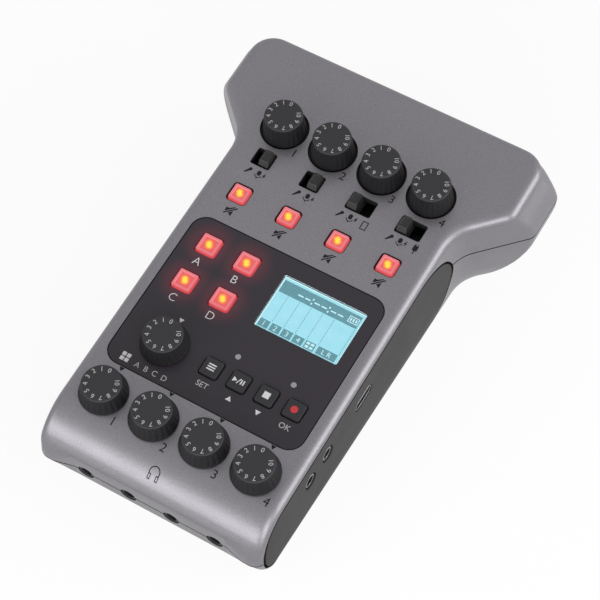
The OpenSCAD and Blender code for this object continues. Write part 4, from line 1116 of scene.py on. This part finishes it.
def build_port_rims():
    across = 2 * JACK_HOLE_R - 0.1
    rims = []
    for v in SIDE_JACKS:
        ring = along_x(oval_rim(across, across, JACK_HOLE_R - JACK_R, 0.3), BODY_HALF + 0.1)
        rims.append((ring, offset(0, v, JACK_SIDE_W)))
    settle(soften(new_object("side_jack_rims", joined(rims), TOP, [DARK_STEEL])), "case", "steel")
    shell = along_x(oval_rim(USB_W - 0.1, USB_H - 0.1, 0.35, 1.6), BODY_HALF + 0.3)
    rim = new_object("usb_rim", shell, TOP @ offset(0, *USB), [DARK_STEEL])
    settle(soften(rim), "case", "steel")


build_port_rims()

# Solids that keep their own shape
KEPT = {
    STEEL: ["usb_socket", "card_socket", "battery_contacts", "case_screws", "board_screws", "pad_shaft"]
    + [f"{kind}_shaft_{i}" for kind in ("gain", "phones") for i in (1, 2, 3, 4)],
    BLACK: ["pot_bodies", "tact_switches", "slide_switch_bodies", "xlr_sockets", "phones_jacks", "side_jacks",
            "power_switch"],
    BRASS: ["xlr_contacts"],
    BOARD: ["main_board", "input_board"],
    SLEEVE: ["batteries"],
    RUBBER: ["rubber_feet"],
    GUIDE: ["status_lights"],
    GREY: ["battery_cover"],
    LCD: ["display_module"],
}
for material, names in KEPT.items():
    for name in names:
        nodes[name].data.materials.clear()
        nodes[name].data.materials.append(material)

# Printed marks on the top
ROLL_STRIP = 0.3


def printed(name, parts, ink, slot):
    """Marks laid on the top; those on the rolled front are cut into strips to follow it."""
    bm = joined(parts)
    for i in range(int(ROLL_R / ROLL_STRIP)):
        everything = bm.verts[:] + bm.edges[:] + bm.faces[:]
        line = (0, ROLL_V - i * ROLL_STRIP, 0)
        bmesh.ops.bisect_plane(bm, geom=everything, plane_co=line, plane_no=(0, 1, 0))
    for v in bm.verts:
        v.co.z += top_w(v.co.y)
    settle(new_object(name, bm, TOP, [ink]), "case", slot)


def put(outlines, u, v, angle=0.0):
    return plates([moved(o, 0, 0, angle) for o in outlines], PRINT_T), offset(u, v)


def lettered(text, u, v, height, weight=0.0):
    return words(text, height, weight), offset(u, v, 0.005)


def arc(r, start, end, thick, steps=20):
    """Curved stroke between two angles in degrees."""
    points = [(r * math.cos(a), r * math.sin(a)) for a in angles(start, end, steps)]
    return [bar(p, q, thick) for p, q in zip(points, points[1:])]


HAND_MIC = [moved(circle(0.58, 20), 0, 0.95), [(-0.42, 0.5), (-0.2, -1.4), (0.2, -1.4), (0.42, 0.5)]]
STAND_MIC = [moved(round_rect(1.3, 1.9, 0.64), 0, 0.5), *arc(1.12, 190, 350, 0.26), rect(0.3, 0.7, 0, -1.35)]
POINTER = [(-0.85, 0.6), (0, -0.8), (0.85, 0.6)]
BOLT = [(0.1, 1.0), (-0.55, -0.1), (-0.05, -0.1), (-0.3, -1.0), (0.55, 0.25), (0.05, 0.25), (0.4, 1.0)]
PLUG = [rect(1.6, 1.9, 0, 0.3), rect(0.35, 1.2, 0, -1.2)] + [rect(0.32, 0.7, x, 1.5) for x in (-0.42, 0.42)]


def clipped(outline, normal, least):
    """Part of a convex outline that lies at least so far along a direction."""
    out = []
    for p, q in zip(outline, outline[1:] + outline[:1]):
        a = p[0] * normal.x + p[1] * normal.y - least
        b = q[0] * normal.x + q[1] * normal.y - least
        if a >= 0:
            out.append(p)
        if (a >= 0) != (b >= 0):
            out.append((mixed(p[0], q[0], a / (a - b)), mixed(p[1], q[1], a / (a - b))))
    return out


def muted():
    """Loudspeaker crossed out."""
    speaker = [rect(0.95, 1.3, -1.25), [(-0.8, 0.65), (-0.8, -0.65), (0.9, -1.8), (0.9, 1.8)]]
    way = Vector((math.cos(math.radians(43)), math.sin(math.radians(43))))
    across = Vector((-way.y, way.x))
    kept = [clipped(o, side * across, 0.45) for o in speaker for side in (1, -1)]
    return [o for o in kept if len(o) > 2] + [bar(-2.35 * way, 2.35 * way, 0.42)]


def outline_box(x, y, line, cx=0, cy=0):
    return [rect(x + line, line, cx, cy + y / 2), rect(x + line, line, cx, cy - y / 2),
            rect(line, y, cx + x / 2, cy), rect(line, y, cx - x / 2, cy)]


HEADPHONES = arc(1.65, 205, -25, 0.3, 24)
for u in (-1.3, 1.3):
    HEADPHONES += outline_box(0.7, 1.3, 0.24, u, -1.3)

black = []
for i, u in enumerate(CHANNELS):
    black.append(lettered(str(i + 1), u + 7.3, 40.6, NUMBER_H))
    black.append(lettered(str(i + 1), u + 7.4, -65.05, NUMBER_H))
    black.append(put(muted(), u + 0.5, 13.1))
    black.append(put([POINTER], u + 0.4, -49.45))
    first, second = (-2.3, 2.2) if i < 2 else (-4.4, 0)
    black.append(put(HAND_MIC, u + first, 28.4, math.radians(-37)))
    black.append(put(STAND_MIC, u + second - 0.8, 28.5))
    black.append(put([BOLT], u + second + 1.1, 28.6))
black.append(put(outline_box(1.7, 2.8, 0.3), CHANNELS[2] + 4.4, 28.2))
black.append(put(PLUG, CHANNELS[3] + 4.5, 28.5))
black.append(put(HEADPHONES, -0.2, -72.3))
printed("black_marks", black, INK_BLACK, "grey_case")

white = [lettered(c.upper(), u - 0.4, v - 6.5, LETTER_H, weight=-0.012) for c, (u, v) in PADS.items()]
white.append(put([POINTER], -18.8, -27.0))
squares = [moved(round_rect(1.3, 1.3, 0.25, 3), x, y) for x in (-0.8, 0.8) for y in (-0.8, 0.8)]
white.append(put(squares, -27, -45.4))
white.append(put([[(-0.95, -0.6), (0.95, -0.6), (0, 0.95)]], 7.2, -42.4))
white.append(put([[(-0.95, 0.6), (0, -0.95), (0.95, 0.6)]], 16.9, -42.1))
printed("white_marks", white, INK_WHITE, "control_panel")

grey_words = (("SET", -2.1, -42.2), ("OK", 26.2, -42.1), ("A  B  C  D", -17.8, -46.0))
grey = [lettered(*word, SMALL_H) for word in grey_words]
printed("grey_marks", grey, INK_GREY, "control_panel")

# Display: a picture under clear glass, given by shares of its width and of its length from the rear
PICTURE_W = WINDOW_W - 0.2
PICTURE_L = WINDOW_L - 0.2
PICTURE_LEVEL = -1.14
LAYER = 0.04


def spot(a, b):
    return (a - 0.5) * PICTURE_W, (0.5 - b) * PICTURE_L


def field(a0, b0, a1, b1):
    return rect((a1 - a0) * PICTURE_W, (b1 - b0) * PICTURE_L, *spot((a0 + a1) / 2, (b0 + b1) / 2))


def picture(name, material, step, outlines, lettering=()):
    parts = [(plates(outlines, LAYER), HERE)]
    for text, height, a, b in lettering:
        parts.append((words(text, height), offset(*spot(a, b))))
    obj = new_object(name, joined(parts), at(*WINDOW, PICTURE_LEVEL + step * LAYER), [material])
    settle(obj, "case", "display")


def build_display():
    picture("display_ground", LCD, 0, [round_rect(PICTURE_W, PICTURE_L, 0.5)])
    picture("display_rim", LCD_EDGE, 1, outline_box(PICTURE_W - 0.35, PICTURE_L - 0.35, 0.35))
    boxes = [(0.02 + 0.14 * i, 0.14 + 0.14 * i) for i in range(5)] + [(0.73, 0.96)]
    dark = [field(0.02, 0.06, 0.97, 0.29)] + [field(a, 0.83, b, 0.97) for a, b in boxes]
    for i in range(6):
        a = 0.149 + 0.142 * i if i < 5 else 0.965
        dark += [field(a - 0.004, b / 100, a + 0.004, b / 100 + 0.02) for b in range(31, 80, 4)]
    picture("display_fields", LCD_INK, 2, dark)
    pale = [field(a, 0.185, a + 0.065, 0.21) for a in (0.23, 0.315, 0.43, 0.515, 0.63, 0.715)]
    for a in (0.405, 0.605):
        pale += [field(a - 0.008, 0.14, a + 0.008, 0.175), field(a - 0.008, 0.22, a + 0.008, 0.255)]
    x, y = spot(0.9, 0.175)
    pale += outline_box(3.2, 2.0, 0.25, x, y) + [rect(0.5, 1.1, x + d, y) for d in (-0.9, 0, 0.9)]
    x, y = spot(0.64, 0.9)
    pale += [rect(1.1, 0.8, x + i * 0.75, y + j * 0.6) for i in (-1, 1) for j in (-1, 1)]
    names = [(str(i + 1), 1.7, 0.08 + 0.14 * i, 0.9) for i in range(4)] + [("L R", 1.6, 0.845, 0.9)]
    picture("display_marks", LCD_MARK, 3, pale, names)
    pane = prism(grown_rect(WINDOW_W - 0.02, WINDOW_L - 0.02, 0.6), [(0, -0.7), (0, -0.14), (-0.12, -0.02)])
    glass = new_object("display_glass", pane, at(*WINDOW), [GLASS])
    settle(soften(glass, 30), "case", "window", "display_window")


build_display()

# Stage
CAMERA_LENS = 126.62
CAMERA_AZIMUTH = math.radians(34.88)
CAMERA_ELEVATION = math.radians(61.58)
CAMERA_ROLL = math.radians(-5.23)
CAMERA_DISTANCE = 636.5
CAMERA_TARGET = (8.96, -3.62)
FLOOR_WHITE = 0.9
WORLD_LIGHT = 0.45


def build_camera():
    """Camera fitted to the photograph, in the top frame."""
    a, e, r = CAMERA_AZIMUTH, CAMERA_ELEVATION, CAMERA_ROLL
    back = Vector((math.sin(a) * math.cos(e), -math.cos(a) * math.cos(e), math.sin(e)))
    right = Vector((math.cos(a), math.sin(a), 0))
    up = back.cross(right)
    right, up = right * math.cos(r) + up * math.sin(r), up * math.cos(r) - right * math.sin(r)
    data = bpy.data.cameras.new("camera")
    data.lens = CAMERA_LENS
    data.sensor_width = 36
    data.clip_start = 0.01
    camera = linked("camera", data)
    place = (Vector((*CAMERA_TARGET, 0)) + back * CAMERA_DISTANCE) * MM
    axes = Matrix((right, up, back)).transposed().to_4x4()
    camera.matrix_world = SLOPE @ Matrix.Translation(place) @ axes
    bpy.context.scene.camera = camera


def area_light(name, place, size, power):
    data = bpy.data.lights.new(name, "AREA")
    data.shape = "RECTANGLE"
    data.size, data.size_y = size
    data.energy = power
    lamp = linked(name, data)
    lamp.location = place
    lamp.rotation_euler = (-Vector(place)).to_track_quat("-Z", "Y").to_euler()
    lamp.visible_camera = False


def to_eye(tree):
    """1 for light that reaches the camera straight, or by way of metal or glass."""
    path = tree.nodes.new("ShaderNodeLightPath")
    seen = path.outputs["Is Camera Ray"]
    for other in ("Is Glossy Ray", "Is Transmission Ray"):
        seen = reckoned(tree, "MAXIMUM", seen, path.outputs[other])
    return seen


def build_floor():
    """White floor that keeps a faint shadow."""
    bm = bmesh.new()
    bmesh.ops.create_grid(bm, x_segments=1, y_segments=1, size=3)
    mat, tree, bsdf = shader("floor_white", (0.95, 0.95, 0.95), 0.9)
    bsdf.inputs["Specular IOR Level"].default_value = 0
    white = tree.nodes.new("ShaderNodeEmission")
    both = tree.nodes.new("ShaderNodeMixShader")
    tree.links.new(reckoned(tree, "MULTIPLY", to_eye(tree), FLOOR_WHITE), both.inputs[0])
    tree.links.new(bsdf.outputs["BSDF"], both.inputs[1])
    tree.links.new(white.outputs["Emission"], both.inputs[2])
    tree.links.new(both.outputs["Shader"], tree.nodes["Material Output"].inputs["Surface"])
    new_object("floor", bm, HERE, [mat])


def build_world():
    """Soft light from all round, which is plain white to the eye."""
    world = bpy.data.worlds.new("studio")
    bpy.context.scene.world = world
    world.use_nodes = True
    tree = world.node_tree
    back = tree.nodes["Background"]
    back.inputs["Color"].default_value = (1, 1, 1, 1)
    strength = reckoned(tree, "MULTIPLY_ADD", to_eye(tree), 1 - WORLD_LIGHT, WORLD_LIGHT)
    tree.links.new(strength, back.inputs["Strength"])


build_camera()
build_floor()
build_world()
area_light("front_box", (-0.26, -0.84, 0.26), (1.1, 0.4), 5.5)
area_light("corner_box", (0.65, -0.57, 0.36), (0.5, 0.5), 4)
area_light("right_box", (0.81, 0.34, 0.27), (0.8, 0.6), 5.5)
bpy.context.scene.view_settings.view_transform = "Standard"
